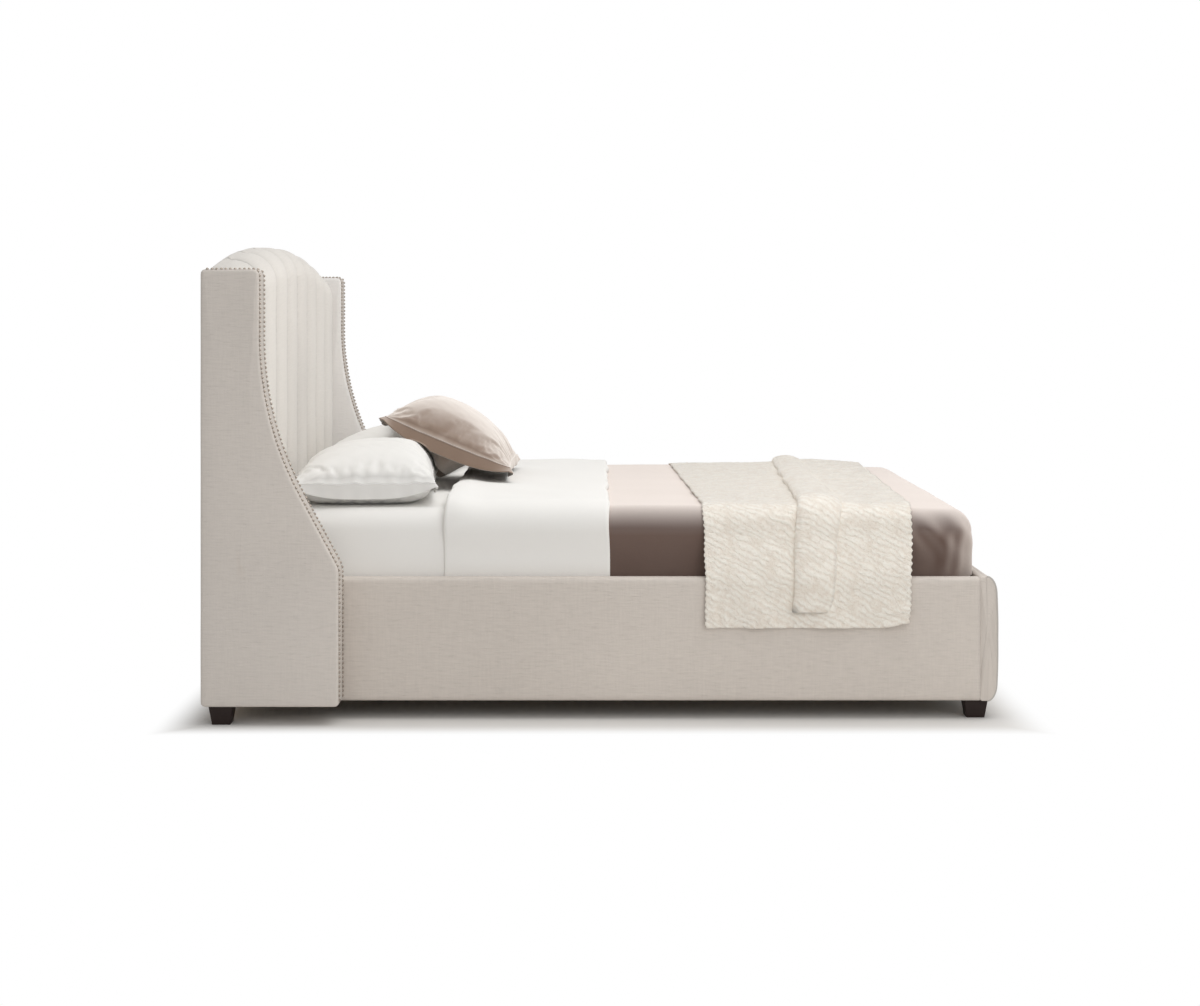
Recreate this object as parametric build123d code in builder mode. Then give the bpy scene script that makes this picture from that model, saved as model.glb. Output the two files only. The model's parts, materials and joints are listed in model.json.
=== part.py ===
from build123d import *
from math import cos, radians, sin, sqrt, tan
import os

os.makedirs("parts", exist_ok=True)

# A dressed wingback bed, in millimetres. The head is at -X and the foot at +X, +Z is up.
# The origin is on the floor, under the middle of the bed's outline.
# Left is -Y: the left hand of someone who stands at the foot and looks at the headboard.

# The whole bed
bed_length = 2185.0
bed_width = 1890.0
ground_gap = 50.0
overrun = 20.0
soft_gap = 0.3

# Wings
wing_height = 1240.0
wing_thickness = 90.0
wing_top_depth = 160.0
wing_foot_depth = 376.0
wing_straight = 184.0
wing_sweep_radius = 909.0
wing_sweep_angle = 28.2
wing_heel_radius = 60.0
wing_front_corner = 18.0
wing_back_corner = 12.0
wing_edge_radius = 7.0
wing_padding = 15.0

# Dome nails
nail_radius = 5.6
nail_height = 3.0
nail_pitch = 12.6
nail_edge_distance = 9.0
nail_stand_off = 0.2
nail_shoulder_share = 0.72

# Headboard, from the back forwards
back_panel_thickness = 6.0
headboard_frame_depth = 64.0
front_board_thickness = 12.0
pad_thickness = 38.0
post_width = 120.0
centre_post_width = 80.0
frame_rail_height = 90.0
frame_clearance = 0.5

# Headboard pad
arch_rise = 64.0
channel_count = 8
channel_crown = 20.0
channel_top_crown = 14.0
pad_front_radius = 60.0
pad_back_radius = 18.0
pad_lip_height = 26.0
pad_foot_gap = 5.0
channel_quarter_share = 0.2
channel_quarter_crown_share = 0.72

# Side rails
rail_thickness = 45.0
rail_height = 340.0
rail_padding = 10.0
rail_edge_radius = 9.0
rail_wing_gap = 2.0

# Footboard
footboard_thickness = 50.0
footboard_padding = 12.0
footboard_core_thickness = 24.0
footboard_core_padding = 30.0
footboard_shoulder = 26.0
footboard_shoulder_drop = 48.0
footboard_bulge = 3.0
footboard_raise = 3.0
welt_radius = 4.0
welt_sink = 2.0

# Legs
leg_top_width = 66.0
leg_foot_width = 50.0
leg_corner_radius = 3.0
head_leg_inset = 8.0
head_leg_back_inset = 21.0
foot_leg_inset = 26.0
foot_leg_rail_inset = 17.0

# Slatted base
slat_top = 340.0
slat_thickness = 15.0
slat_width = 98.0
slat_count = 12
slat_end_gap = 8.0
slat_edge_radius = 3.0
slat_head_gap = 70.0
ledge_width = 30.0
ledge_height = 28.0
ledge_clearance = 1.0
beam_width = 40.0
beam_height = 60.0
saddle_plate = 3.0
saddle_length = 50.0
saddle_flange = 20.0
centre_leg_count = 2
centre_leg_width = 40.0
glide_radius = 17.0
glide_height = 8.0
glide_stem_radius = 5.0
glide_stem_length = 25.0

# Corner joinery
corner_block = 60.0
bracket_leg = 60.0
bracket_height = 120.0
bracket_thickness = 4.0
bracket_foot_level = 150.0

# Bolts and screws
bolt_radius = 4.0
bolt_clearance = 0.3
bolt_head_radius = 9.0
bolt_head_height = 5.0
wing_bolt_reach = 40.0
wing_bolt_levels = (200.0, 650.0, 1100.0)
bracket_bolt_levels = (180.0, 240.0)
bracket_bolt_reach = 26.0
bracket_bolt_inset = 27.0
block_bolt_levels = (120.0, 240.0)
block_bolt_step = 40.0
block_bolt_reach = 26.0
leg_bolt_length = 70.0
leg_bolt_sink = 28.0
leg_bolt_block_inset = 18.0
screw_radius = 2.5
screw_head_radius = 5.0
screw_head_height = 2.5
screw_reach = 24.0
screws_per_ledge = 6

# Mattress and the covers laid over it
mattress_height = 234.0
mattress_head_gap = 3.7
mattress_foot_gap = 6.3
mattress_side_gap = 8.0
mattress_corner_radius = 75.0
mattress_edge_radius = 60.0
mattress_foot_radius = 20.0
fitted_sheet_thickness = 1.5
fitted_sheet_hem = 30.0
blanket_thickness = 2.5
blanket_hem = 45.0
blanket_start = 640.0
turndown_start = 650.0
turndown_end = 1110.0
turndown_side = 2.5
turndown_top = 18.0
turndown_hem = 40.0

# Throw, whose edges and pleat are placed by their distances from the bed's foot
throw_thickness = 8.0
throw_near_start = 826.0
throw_near_end = 258.0
throw_far_start = 868.0
throw_far_end = 191.0
throw_hem = 253.0
throw_rail_gap = 3.0
throw_shoulder_radius = 70.0
throw_shoulder_drop = 80.0
throw_edge_radius = 3.0
pleat_rise = 20.0
pleat_hem_rise = 50.0
pleat_near_start = 560.0
pleat_near_end = 452.0
pleat_far_start = 478.0
pleat_far_end = 389.0

# Pillows
pillow_depth = 484.0
pillow_head_gap = 3.0
pillow_edge_gap = 25.0
pillow_parting = 150.0
pillow_flange = 38.0
pillow_flange_thickness = 6.0
pillow_seam_rise = 66.0
pillow_crown = 101.0
pillow_belly = 78.0
pillow_drawn_in = 14.0

# Cushion
cushion_depth = 438.0
cushion_length = 570.0
cushion_flange = 30.0
cushion_flange_thickness = 6.0
cushion_crown = 104.0
cushion_belly = 100.0
cushion_drawn_in = 12.0
cushion_tilt = 22.4
cushion_place = 622.0
cushion_height = 722.0
cushion_offset = 20.0

# Shares of a stuffed form's half length, and of its crown and half depth there
form_station_shares = (-1.0, -0.86, -0.5, 0.0, 0.5, 0.86, 1.0)
form_crown_shares = (0.05, 0.5, 0.89, 1.0, 0.89, 0.5, 0.05)
form_draw_shares = (0.0, 0.45, 0.9, 1.0, 0.9, 0.45, 0.0)

# Places that several pieces share
head_x = -bed_length / 2
foot_x = bed_length / 2
wing_outer = bed_width / 2
wing_inner = wing_outer - wing_thickness
rail_outer = wing_inner - rail_wing_gap
rail_inner = rail_outer - rail_thickness
rail_top = ground_gap + rail_height
frame_back = head_x + back_panel_thickness
board_back = frame_back + headboard_frame_depth
board_front = board_back + front_board_thickness
pad_front = board_front + pad_thickness
footboard_inner = foot_x - footboard_thickness
rail_length = footboard_inner - board_front
slat_bottom = slat_top - slat_thickness
slat_length = (rail_inner - slat_end_gap) * 2
mattress_head = pad_front + channel_crown + mattress_head_gap
mattress_length = footboard_inner - mattress_foot_gap - mattress_head
mattress_width = (rail_inner - mattress_side_gap) * 2
mattress_middle = mattress_head + mattress_length / 2
mattress_foot = slat_top + soft_gap
mattress_top = mattress_foot + mattress_height
arch_radius = (wing_inner**2 + arch_rise**2) / (2 * arch_rise)


def arch_height(y):
    """The height of the headboard pad's seams at y, on the circle of the arch."""
    return wing_height + arch_rise - arch_radius + sqrt(arch_radius**2 - y**2)


def write(name, solid):
    """Label a finished piece and write its file."""
    solid.label = name
    export_step(solid, f"parts/{name}.step")


def write_pair(name, left):
    """Write a left piece, and its mirror image as the right one."""
    with BuildPart() as right:
        mirror(left, about=Plane.XZ)
    write(f"{name}_left", left)
    write(f"{name}_right", right.part)


def bolt(start, direction, length, radius=bolt_radius, head=bolt_head_radius, rise=bolt_head_height):
    """A round-headed bolt: the head stands behind start, and the shank runs on from it."""
    seat = Plane(origin=start, z_dir=direction)
    with BuildPart() as piece:
        with BuildSketch(seat):
            Circle(radius)
        extrude(amount=length)
        if head:
            with BuildSketch(seat):
                Circle(head)
            extrude(amount=-rise)
            fillet(piece.edges().filter_by(GeomType.CIRCLE).group_by(SortBy.RADIUS)[-1], rise / 2 - bolt_clearance)
    return piece.part


def bolt_hole(start, direction, length, radius=bolt_radius):
    """The clearance hole for a bolt's shank."""
    with BuildPart() as hole:
        with BuildSketch(Plane(origin=start, z_dir=direction)):
            Circle(radius + bolt_clearance)
        extrude(amount=length + bolt_clearance)
    return hole.part


def mirrored(places):
    """Places on the left, and the same ones on the right."""
    return places + [(Vector(p.X, -p.Y, p.Z), Vector(d.X, -d.Y, d.Z)) for p, d in places]


# Bolts on the left side: where each shank starts, and the way it points
wing_bolts = [
    (Vector((frame_back + board_back) / 2, -(wing_inner - post_width), level), Vector(0, -1, 0))
    for level in wing_bolt_levels
]
wing_bolt_length = post_width + wing_padding + wing_bolt_reach
bracket_board_bolts = [
    (
        Vector(board_front + bracket_thickness, -(rail_inner - bracket_leg / 2), level),
        Vector(-1, 0, 0),
    )
    for level in bracket_bolt_levels
]
bracket_rail_bolts = [
    (
        Vector(board_front + bracket_leg - bracket_bolt_inset, -(rail_inner - bracket_thickness), level),
        Vector(0, -1, 0),
    )
    for level in bracket_bolt_levels
]
bracket_bolt_length = bracket_thickness + bracket_bolt_reach
block_foot_bolts = [
    (Vector(footboard_inner - corner_block, -(rail_inner - corner_block / 2), level), Vector(1, 0, 0))
    for level in block_bolt_levels
]
block_rail_bolts = [
    (
        Vector(footboard_inner - corner_block / 2, -(rail_inner - corner_block), level + block_bolt_step),
        Vector(0, -1, 0),
    )
    for level in block_bolt_levels
]
block_bolt_length = corner_block + block_bolt_reach

head_leg_place = (
    head_x + head_leg_back_inset + leg_top_width / 2,
    -(wing_outer - head_leg_inset - leg_top_width / 2),
)
foot_leg_place = (
    foot_x - foot_leg_inset - leg_top_width / 2,
    -(rail_outer - foot_leg_rail_inset - leg_top_width / 2),
)
leg_bolt_foot = ground_gap - leg_bolt_sink
head_leg_bolt = Vector(*head_leg_place, leg_bolt_foot)
foot_leg_bolt = Vector(
    footboard_inner - leg_bolt_block_inset, -(rail_inner - leg_bolt_block_inset), leg_bolt_foot
)
centre_leg_pitch = rail_length / (centre_leg_count + 1)
centre_leg_places = [
    board_front + centre_leg_pitch * (i + 1) for i in range(centre_leg_count)
]
centre_leg_top = slat_bottom - beam_height
centre_leg_bolt_foot = centre_leg_top - leg_bolt_length / 2
ledge_start = board_front + bracket_leg + ledge_clearance
ledge_end = footboard_inner - corner_block - ledge_clearance
ledge_length = ledge_end - ledge_start
screw_pitch = ledge_length / screws_per_ledge
ledge_screws = [
    (
        Vector(
            ledge_start + screw_pitch * (i + 1 / 2),
            -(rail_inner - ledge_width),
            slat_bottom - ledge_height / 2,
        ),
        Vector(0, -1, 0),
    )
    for i in range(screws_per_ledge)
]
screw_length = ledge_width + screw_reach

# Wing outline: up the back, along the top, down the front edge and its sweep to the heel
sweep_top = wing_height - wing_straight
sweep_foot_x = head_x + wing_top_depth + wing_sweep_radius * (1 - cos(radians(wing_sweep_angle)))
sweep_foot_z = sweep_top - wing_sweep_radius * sin(radians(wing_sweep_angle))
heel_x = head_x + wing_foot_depth
heel_z = sweep_foot_z - (heel_x - sweep_foot_x) / tan(radians(wing_sweep_angle))
heel_tangent = wing_heel_radius * tan(radians(wing_sweep_angle / 2))
heel_middle = (heel_x - wing_heel_radius, heel_z - heel_tangent)


def turned(middle, radius, angle):
    """The point of a circle at an angle from its +X side."""
    return (middle[0] + radius * cos(radians(angle)), middle[1] + radius * sin(radians(angle)))


def wing_front_edge():
    """The front edge from the top corner down: straight, swept, slanted, rounded, straight."""
    sweep_middle = (head_x + wing_top_depth + wing_sweep_radius, sweep_top)
    Line((head_x + wing_top_depth, wing_height - wing_front_corner), (head_x + wing_top_depth, sweep_top))
    ThreePointArc(
        (head_x + wing_top_depth, sweep_top),
        turned(sweep_middle, wing_sweep_radius, 180 + wing_sweep_angle / 2),
        (sweep_foot_x, sweep_foot_z),
    )
    Line((sweep_foot_x, sweep_foot_z), turned(heel_middle, wing_heel_radius, wing_sweep_angle))
    ThreePointArc(
        turned(heel_middle, wing_heel_radius, wing_sweep_angle),
        turned(heel_middle, wing_heel_radius, wing_sweep_angle / 2),
        (heel_x, heel_z - heel_tangent),
    )
    Line((heel_x, heel_z - heel_tangent), (heel_x, ground_gap))


with BuildLine(Plane.XZ) as wing_front:
    wing_front_edge()

with BuildSketch(Plane.XZ) as wing_outline:
    with BuildLine():
        Polyline(
            (heel_x, ground_gap),
            (head_x, ground_gap),
            (head_x, wing_height),
            (head_x + wing_top_depth - wing_front_corner, wing_height),
        )
        corner_middle = (
            head_x + wing_top_depth - wing_front_corner,
            wing_height - wing_front_corner,
        )
        ThreePointArc(
            (corner_middle[0], wing_height),
            turned(corner_middle, wing_front_corner, 45),
            (head_x + wing_top_depth, corner_middle[1]),
        )
        wing_front_edge()
    make_face()
    fillet(wing_outline.vertices().group_by(Axis.Y)[-1].sort_by(Axis.X)[0], wing_back_corner)
    fillet(wing_outline.vertices().group_by(Axis.Y)[0], wing_back_corner)

with BuildSketch(Plane.XZ) as wing_core_outline:
    add(wing_outline.sketch)
    offset(amount=-wing_padding, mode=Mode.REPLACE)

# Wing core: the timber panel that the padding wraps
with BuildPart() as wing_core:
    with BuildSketch(Plane.XZ.offset(wing_inner + wing_padding)):
        add(wing_core_outline.sketch)
    extrude(amount=wing_thickness - wing_padding * 2)
    for start, direction in wing_bolts:
        add(bolt_hole(start, direction, wing_bolt_length), mode=Mode.SUBTRACT)
    add(bolt_hole(head_leg_bolt, Vector(0, 0, 1), leg_bolt_length), mode=Mode.SUBTRACT)
write_pair("wing_core", wing_core.part)

# Wing cover: padding and linen all round the core
with BuildPart() as wing_cover:
    with BuildSketch(Plane.XZ.offset(wing_inner)):
        add(wing_outline.sketch)
    extrude(amount=wing_thickness)
    fillet(wing_cover.faces().filter_by(Axis.Y).edges(), wing_edge_radius)
    with BuildSketch(Plane.XZ.offset(wing_inner + wing_padding)):
        add(wing_core_outline.sketch)
    extrude(amount=wing_thickness - wing_padding * 2, mode=Mode.SUBTRACT)
    for start, direction in wing_bolts:
        add(bolt_hole(start, direction, wing_bolt_length), mode=Mode.SUBTRACT)
    add(bolt_hole(head_leg_bolt, Vector(0, 0, 1), leg_bolt_length), mode=Mode.SUBTRACT)
write_pair("wing_cover", wing_cover.part)

# Dome nails: two rows down each wing's front edge and two over its top
with BuildPart() as nail:
    with BuildSketch(Plane.XZ):
        with BuildLine():
            Polyline(
                (0, 0),
                (nail_radius, 0),
                (nail_radius * nail_shoulder_share, nail_height * nail_shoulder_share),
                (0, nail_height),
                (0, 0),
            )
        make_face()
    revolve(axis=Axis.Z)

nail_rows = (-(wing_outer - nail_edge_distance), -(wing_inner + nail_edge_distance))
front_run = wing_front.wires()[0]
front_nails = int(front_run.length / nail_pitch)
top_nails = int((wing_top_depth - wing_front_corner - wing_back_corner) / nail_pitch)
nail_places = []
for i in range(front_nails):
    along = (i + 1 / 2) * front_run.length / front_nails
    point = front_run.position_at(along, PositionMode.LENGTH)
    down = front_run.tangent_at(along, PositionMode.LENGTH)
    outward = Vector(-down.Z, 0, down.X)
    outward = outward if outward.X > 0 else -outward
    base = point + outward * nail_stand_off
    for row in nail_rows:
        nail_places.append(Plane(origin=(base.X, row, base.Z), z_dir=outward).location)
for i in range(top_nails):
    x = head_x + wing_back_corner + nail_pitch * (i + 1 / 2)
    for row in nail_rows:
        nail_places.append(Plane(origin=(x, row, wing_height + nail_stand_off)).location)

with BuildPart() as nail_trim:
    with Locations(*nail_places):
        add(nail.part)
write_pair("nail_trim", nail_trim.part)

# Headboard posts
frame_top = arch_height(wing_inner) - pad_thickness - frame_clearance
with BuildPart() as headboard_post:
    with BuildSketch(Plane.XY.offset(ground_gap)):
        with Locations((frame_back, -wing_inner)):
            Rectangle(headboard_frame_depth, post_width, align=(Align.MIN, Align.MIN))
    extrude(amount=frame_top - ground_gap)
    for start, direction in wing_bolts:
        add(bolt_hole(start, direction, wing_bolt_length), mode=Mode.SUBTRACT)
    for start, direction in bracket_board_bolts:
        add(bolt_hole(start, direction, bracket_bolt_length), mode=Mode.SUBTRACT)
write_pair("headboard_post", headboard_post.part)

# The frame's rails and centre post, between the side posts
post_inner = wing_inner - post_width
inner_arch = -pad_thickness - frame_clearance
with BuildPart() as headboard_top_rail:
    with BuildSketch(Plane.YZ.offset(frame_back)):
        with BuildLine():
            ThreePointArc(
                (-post_inner, arch_height(post_inner) + inner_arch),
                (0, arch_height(0) + inner_arch),
                (post_inner, arch_height(post_inner) + inner_arch),
            )
            Polyline(
                (post_inner, arch_height(post_inner) + inner_arch),
                (post_inner, frame_top - frame_rail_height),
                (-post_inner, frame_top - frame_rail_height),
                (-post_inner, arch_height(post_inner) + inner_arch),
            )
        make_face()
    extrude(amount=headboard_frame_depth)
write("headboard_top_rail", headboard_top_rail.part)

with BuildPart() as headboard_bottom_rail:
    with BuildSketch(Plane.YZ.offset(frame_back)):
        with Locations((0, ground_gap)):
            Rectangle(post_inner * 2, frame_rail_height, align=(Align.CENTER, Align.MIN))
    extrude(amount=headboard_frame_depth)
write("headboard_bottom_rail", headboard_bottom_rail.part)

with BuildPart() as headboard_centre_post:
    with BuildSketch(Plane.XY.offset(ground_gap + frame_rail_height)):
        with Locations((frame_back, 0)):
            Rectangle(headboard_frame_depth, centre_post_width, align=(Align.MIN, Align.CENTER))
    extrude(amount=frame_top - ground_gap - frame_rail_height * 2)
write("headboard_centre_post", headboard_centre_post.part)


def arched_panel(place, thickness, below_arch):
    """A board between the wings, from the rails' foot up to a line below the arch."""
    side_top = arch_height(wing_inner) - below_arch
    with BuildPart() as panel:
        with BuildSketch(Plane.YZ.offset(place)):
            with BuildLine():
                ThreePointArc((-wing_inner, side_top), (0, side_top + arch_rise), (wing_inner, side_top))
                Polyline(
                    (wing_inner, side_top),
                    (wing_inner, ground_gap),
                    (-wing_inner, ground_gap),
                    (-wing_inner, side_top),
                )
            make_face()
        extrude(amount=thickness)
    return panel.part


with BuildPart() as headboard_front_board:
    add(arched_panel(board_back, front_board_thickness, pad_thickness + frame_clearance))
    for start, direction in mirrored(bracket_board_bolts):
        add(bolt_hole(start, direction, bracket_bolt_length), mode=Mode.SUBTRACT)
write("headboard_front_board", headboard_front_board.part)

with BuildPart() as headboard_back_panel:
    add(
        arched_panel(
            head_x, back_panel_thickness, pad_back_radius + pad_lip_height + frame_clearance
        )
    )
write("headboard_back_panel", headboard_back_panel.part)

# Headboard pad: upright channels that wrap over the arched top
pad_foot = rail_top + pad_foot_gap
channel_width = wing_inner * 2 / channel_count
channel_stations = (
    (0, 0),
    (channel_quarter_share, channel_quarter_crown_share),
    (1 / 2, 1),
    (1 - channel_quarter_share, channel_quarter_crown_share),
    (1, 0),
)


def channel_section(y, crown_share):
    """The pad's section at y: up its front, round over the top and down to the back panel."""
    seam = arch_height(y)
    front = pad_front + channel_crown * crown_share
    top = seam + channel_top_crown * crown_share
    front_middle = (front - pad_front_radius, top - pad_front_radius)
    back_middle = (head_x + pad_back_radius, top - pad_back_radius)
    lip = seam - pad_back_radius - pad_lip_height
    with BuildSketch(Plane.XZ.offset(-y)) as section:
        with BuildLine():
            Polyline((board_front, pad_foot), (front, pad_foot), (front, front_middle[1]))
            ThreePointArc(
                (front, front_middle[1]),
                turned(front_middle, pad_front_radius, 45),
                (front_middle[0], top),
            )
            Line((front_middle[0], top), (back_middle[0], top))
            ThreePointArc(
                (back_middle[0], top),
                turned(back_middle, pad_back_radius, 135),
                (head_x, back_middle[1]),
            )
            Polyline(
                (head_x, back_middle[1]),
                (head_x, lip),
                (frame_back, lip),
                (frame_back, seam - pad_thickness),
                (board_front, seam - pad_thickness),
                (board_front, pad_foot),
            )
        make_face()
    return section.sketch


with BuildPart() as channel_pad:
    for channel in range(channel_count):
        for place_share, crown_share in channel_stations:
            y = -wing_inner + channel_width * (channel + place_share)
            add(channel_section(y, crown_share))
        loft()
write("channel_pad", channel_pad.part)

# Side rails: a timber core in a padded linen cover
rail_middle = (-(rail_inner + rail_outer) / 2, ground_gap + rail_height / 2)
rail_bolts = (
    [(place, direction, bracket_bolt_length) for place, direction in bracket_rail_bolts]
    + [(place, direction, block_bolt_length) for place, direction in block_rail_bolts]
)


rail_holes = [bolt_hole(start, direction, length) for start, direction, length in rail_bolts] + [
    bolt_hole(start, direction, screw_length, screw_radius) for start, direction in ledge_screws
]

with BuildPart() as rail_core:
    with BuildSketch(Plane.YZ.offset(board_front)):
        with Locations(rail_middle):
            Rectangle(rail_thickness - rail_padding * 2, rail_height - rail_padding * 2)
    extrude(amount=rail_length)
    add(rail_holes, mode=Mode.SUBTRACT)
write_pair("side_rail", rail_core.part)

with BuildPart() as rail_cover:
    with BuildSketch(Plane.YZ.offset(board_front)):
        with Locations(rail_middle):
            RectangleRounded(rail_thickness, rail_height, rail_edge_radius)
            Rectangle(
                rail_thickness - rail_padding * 2, rail_height - rail_padding * 2, mode=Mode.SUBTRACT
            )
    extrude(amount=rail_length)
    add(rail_holes, mode=Mode.SUBTRACT)
write_pair("side_rail_cover", rail_cover.part)

# Footboard: a timber core in a padded cover, with a welt round each end of its outer face
footboard_top = rail_top + footboard_raise
footboard_face = foot_x - (welt_radius - welt_sink)
shoulder_x = footboard_face - footboard_bulge - footboard_shoulder


# The footboard's section: flat inside, rounded at the shoulders and bulging outside
side = footboard_face - footboard_bulge
high = footboard_top - footboard_shoulder_drop
low = ground_gap + footboard_shoulder_drop
shoulder_reach = footboard_shoulder * sqrt(1 / 2)
shoulder_rise = footboard_shoulder_drop * sqrt(1 / 2)
with BuildSketch() as footboard_outline:
    with BuildLine():
        Polyline(
            (shoulder_x, ground_gap),
            (footboard_inner, ground_gap),
            (footboard_inner, footboard_top),
            (shoulder_x, footboard_top),
        )
        ThreePointArc(
            (shoulder_x, footboard_top),
            (shoulder_x + shoulder_reach, high + shoulder_rise),
            (side, high),
        )
        ThreePointArc((side, high), (footboard_face, (high + low) / 2), (side, low))
        ThreePointArc(
            (side, low),
            (shoulder_x + shoulder_reach, low - shoulder_rise),
            (shoulder_x, ground_gap),
        )
    make_face()

core_inner = footboard_inner + footboard_padding
core_height = footboard_top - ground_gap - footboard_core_padding * 2
core_middle = (core_inner + footboard_core_thickness / 2, (ground_gap + footboard_top) / 2)

with BuildPart() as footboard_core:
    with BuildSketch(Plane.XZ.offset(-(rail_outer - footboard_padding))):
        with Locations(core_middle):
            Rectangle(footboard_core_thickness, core_height)
    extrude(amount=(rail_outer - footboard_padding) * 2)
    for start, direction in mirrored(block_foot_bolts):
        add(bolt_hole(start, direction, block_bolt_length), mode=Mode.SUBTRACT)
write("footboard_core", footboard_core.part)

with BuildPart() as footboard_cover:
    with BuildSketch(Plane.XZ.offset(-rail_outer)):
        add(footboard_outline.sketch)
    extrude(amount=rail_outer * 2)
    with BuildSketch(Plane.XZ.offset(-(rail_outer - footboard_padding))):
        with Locations(core_middle):
            Rectangle(footboard_core_thickness, core_height)
    extrude(amount=(rail_outer - footboard_padding) * 2, mode=Mode.SUBTRACT)
    for start, direction in mirrored(block_foot_bolts):
        add(bolt_hole(start, direction, block_bolt_length), mode=Mode.SUBTRACT)
write("footboard_cover", footboard_cover.part)

with BuildPart() as footboard_welt:
    with BuildSketch(Plane.XZ.offset(rail_outer - welt_radius * 2)):
        add(footboard_outline.sketch)
        offset(amount=welt_radius - welt_sink)
        with Locations((footboard_inner, ground_gap)):
            Rectangle(
                footboard_thickness, wing_height, align=(Align.MIN, Align.MIN), mode=Mode.INTERSECT
            )
        add(footboard_outline.sketch, mode=Mode.SUBTRACT)
    extrude(amount=welt_radius * 2)
    mirror(about=Plane.XZ)
write("footboard_welt", footboard_welt.part)


def tapered_leg(place, bolt_place):
    """A square leg that narrows to its foot, drilled for its bolt."""
    with BuildPart() as leg:
        for level, width in ((0, leg_foot_width), (ground_gap, leg_top_width)):
            with BuildSketch(Plane.XY.offset(level)):
                with Locations(place):
                    RectangleRounded(width, width, leg_corner_radius)
        loft(ruled=True)
        add(bolt_hole(bolt_place, Vector(0, 0, 1), leg_bolt_length), mode=Mode.SUBTRACT)
    return leg.part


write_pair("head_leg", tapered_leg(head_leg_place, head_leg_bolt))
write_pair("foot_leg", tapered_leg(foot_leg_place, foot_leg_bolt))

# Corner blocks at the foot
with BuildPart() as block:
    with BuildSketch(Plane.XY.offset(ground_gap)):
        with Locations((footboard_inner, -rail_inner)):
            Rectangle(corner_block, corner_block, align=(Align.MAX, Align.MIN))
    extrude(amount=slat_bottom - ground_gap)
    for start, direction in block_foot_bolts + block_rail_bolts:
        add(bolt_hole(start, direction, block_bolt_length), mode=Mode.SUBTRACT)
    add(bolt_hole(foot_leg_bolt, Vector(0, 0, 1), leg_bolt_length), mode=Mode.SUBTRACT)
write_pair("corner_block", block.part)

# Steel corner brackets at the head
with BuildPart() as corner_brackets:
    with BuildSketch(Plane.XY.offset(bracket_foot_level)):
        with Locations((board_front, -rail_inner)):
            Rectangle(bracket_thickness, bracket_leg, align=(Align.MIN, Align.MIN))
            Rectangle(bracket_leg, bracket_thickness, align=(Align.MIN, Align.MIN))
    extrude(amount=bracket_height)
    for start, direction in bracket_board_bolts + bracket_rail_bolts:
        add(bolt_hole(start, direction, bracket_bolt_length), mode=Mode.SUBTRACT)
    mirror(about=Plane.XZ)
write("corner_brackets", corner_brackets.part)


def write_bolts(name, places, length, radius=bolt_radius, head=bolt_head_radius, rise=bolt_head_height):
    """Write the same bolt at each place, as one group of separate pieces."""
    with BuildPart() as group:
        for start, direction in places:
            add(bolt(start, direction, length, radius, head, rise))
    write(name, group.part)


write_bolts("wing_bolts", mirrored(wing_bolts), wing_bolt_length)
write_bolts("bracket_bolts", mirrored(bracket_board_bolts + bracket_rail_bolts), bracket_bolt_length)
write_bolts("block_bolts", mirrored(block_foot_bolts + block_rail_bolts), block_bolt_length)
write_bolts(
    "ledge_screws",
    mirrored(ledge_screws),
    screw_length,
    screw_radius,
    screw_head_radius,
    screw_head_height,
)
centre_leg_bolts = [(Vector(x, 0, centre_leg_bolt_foot), Vector(0, 0, 1)) for x in centre_leg_places]
corner_leg_bolts = mirrored([(head_leg_bolt, Vector(0, 0, 1)), (foot_leg_bolt, Vector(0, 0, 1))])
write_bolts("leg_bolts", corner_leg_bolts + centre_leg_bolts, leg_bolt_length, head=0)

# Slat ledges along the rails
with BuildPart() as ledge:
    with BuildSketch(Plane.YZ.offset(ledge_start)):
        with Locations((-rail_inner, slat_bottom)):
            Rectangle(ledge_width, ledge_height, align=(Align.MIN, Align.MAX))
    extrude(amount=ledge_length)
    for start, direction in ledge_screws:
        add(bolt_hole(start, direction, screw_length, screw_radius), mode=Mode.SUBTRACT)
write_pair("slat_ledge", ledge.part)

# Centre beam in its two saddles
with BuildPart() as centre_beam:
    with BuildSketch(Plane.YZ.offset(board_front + saddle_plate)):
        with Locations((0, slat_bottom)):
            Rectangle(beam_width, beam_height, align=(Align.CENTER, Align.MAX))
    extrude(amount=rail_length - saddle_plate * 2)
    for start, direction in centre_leg_bolts:
        add(bolt_hole(start, direction, leg_bolt_length), mode=Mode.SUBTRACT)
write("centre_beam", centre_beam.part)

beam_foot = slat_bottom - beam_height
with BuildPart() as beam_saddles:
    with BuildSketch(Plane.YZ.offset(board_front)):
        with Locations((0, slat_bottom)):
            Rectangle(
                beam_width + (saddle_plate + saddle_flange) * 2,
                beam_height + saddle_plate,
                align=(Align.CENTER, Align.MAX),
            )
    extrude(amount=saddle_plate)
    with BuildSketch(Plane.YZ.offset(board_front)):
        with Locations((0, slat_bottom - saddle_plate)):
            Rectangle(
                beam_width + saddle_plate * 2, beam_height, align=(Align.CENTER, Align.MAX)
            )
        with Locations((0, slat_bottom)):
            Rectangle(beam_width, beam_height, align=(Align.CENTER, Align.MAX), mode=Mode.SUBTRACT)
    extrude(amount=saddle_length)
    mirror(about=Plane.YZ.offset(board_front + rail_length / 2))
write("beam_saddles", beam_saddles.part)

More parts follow.
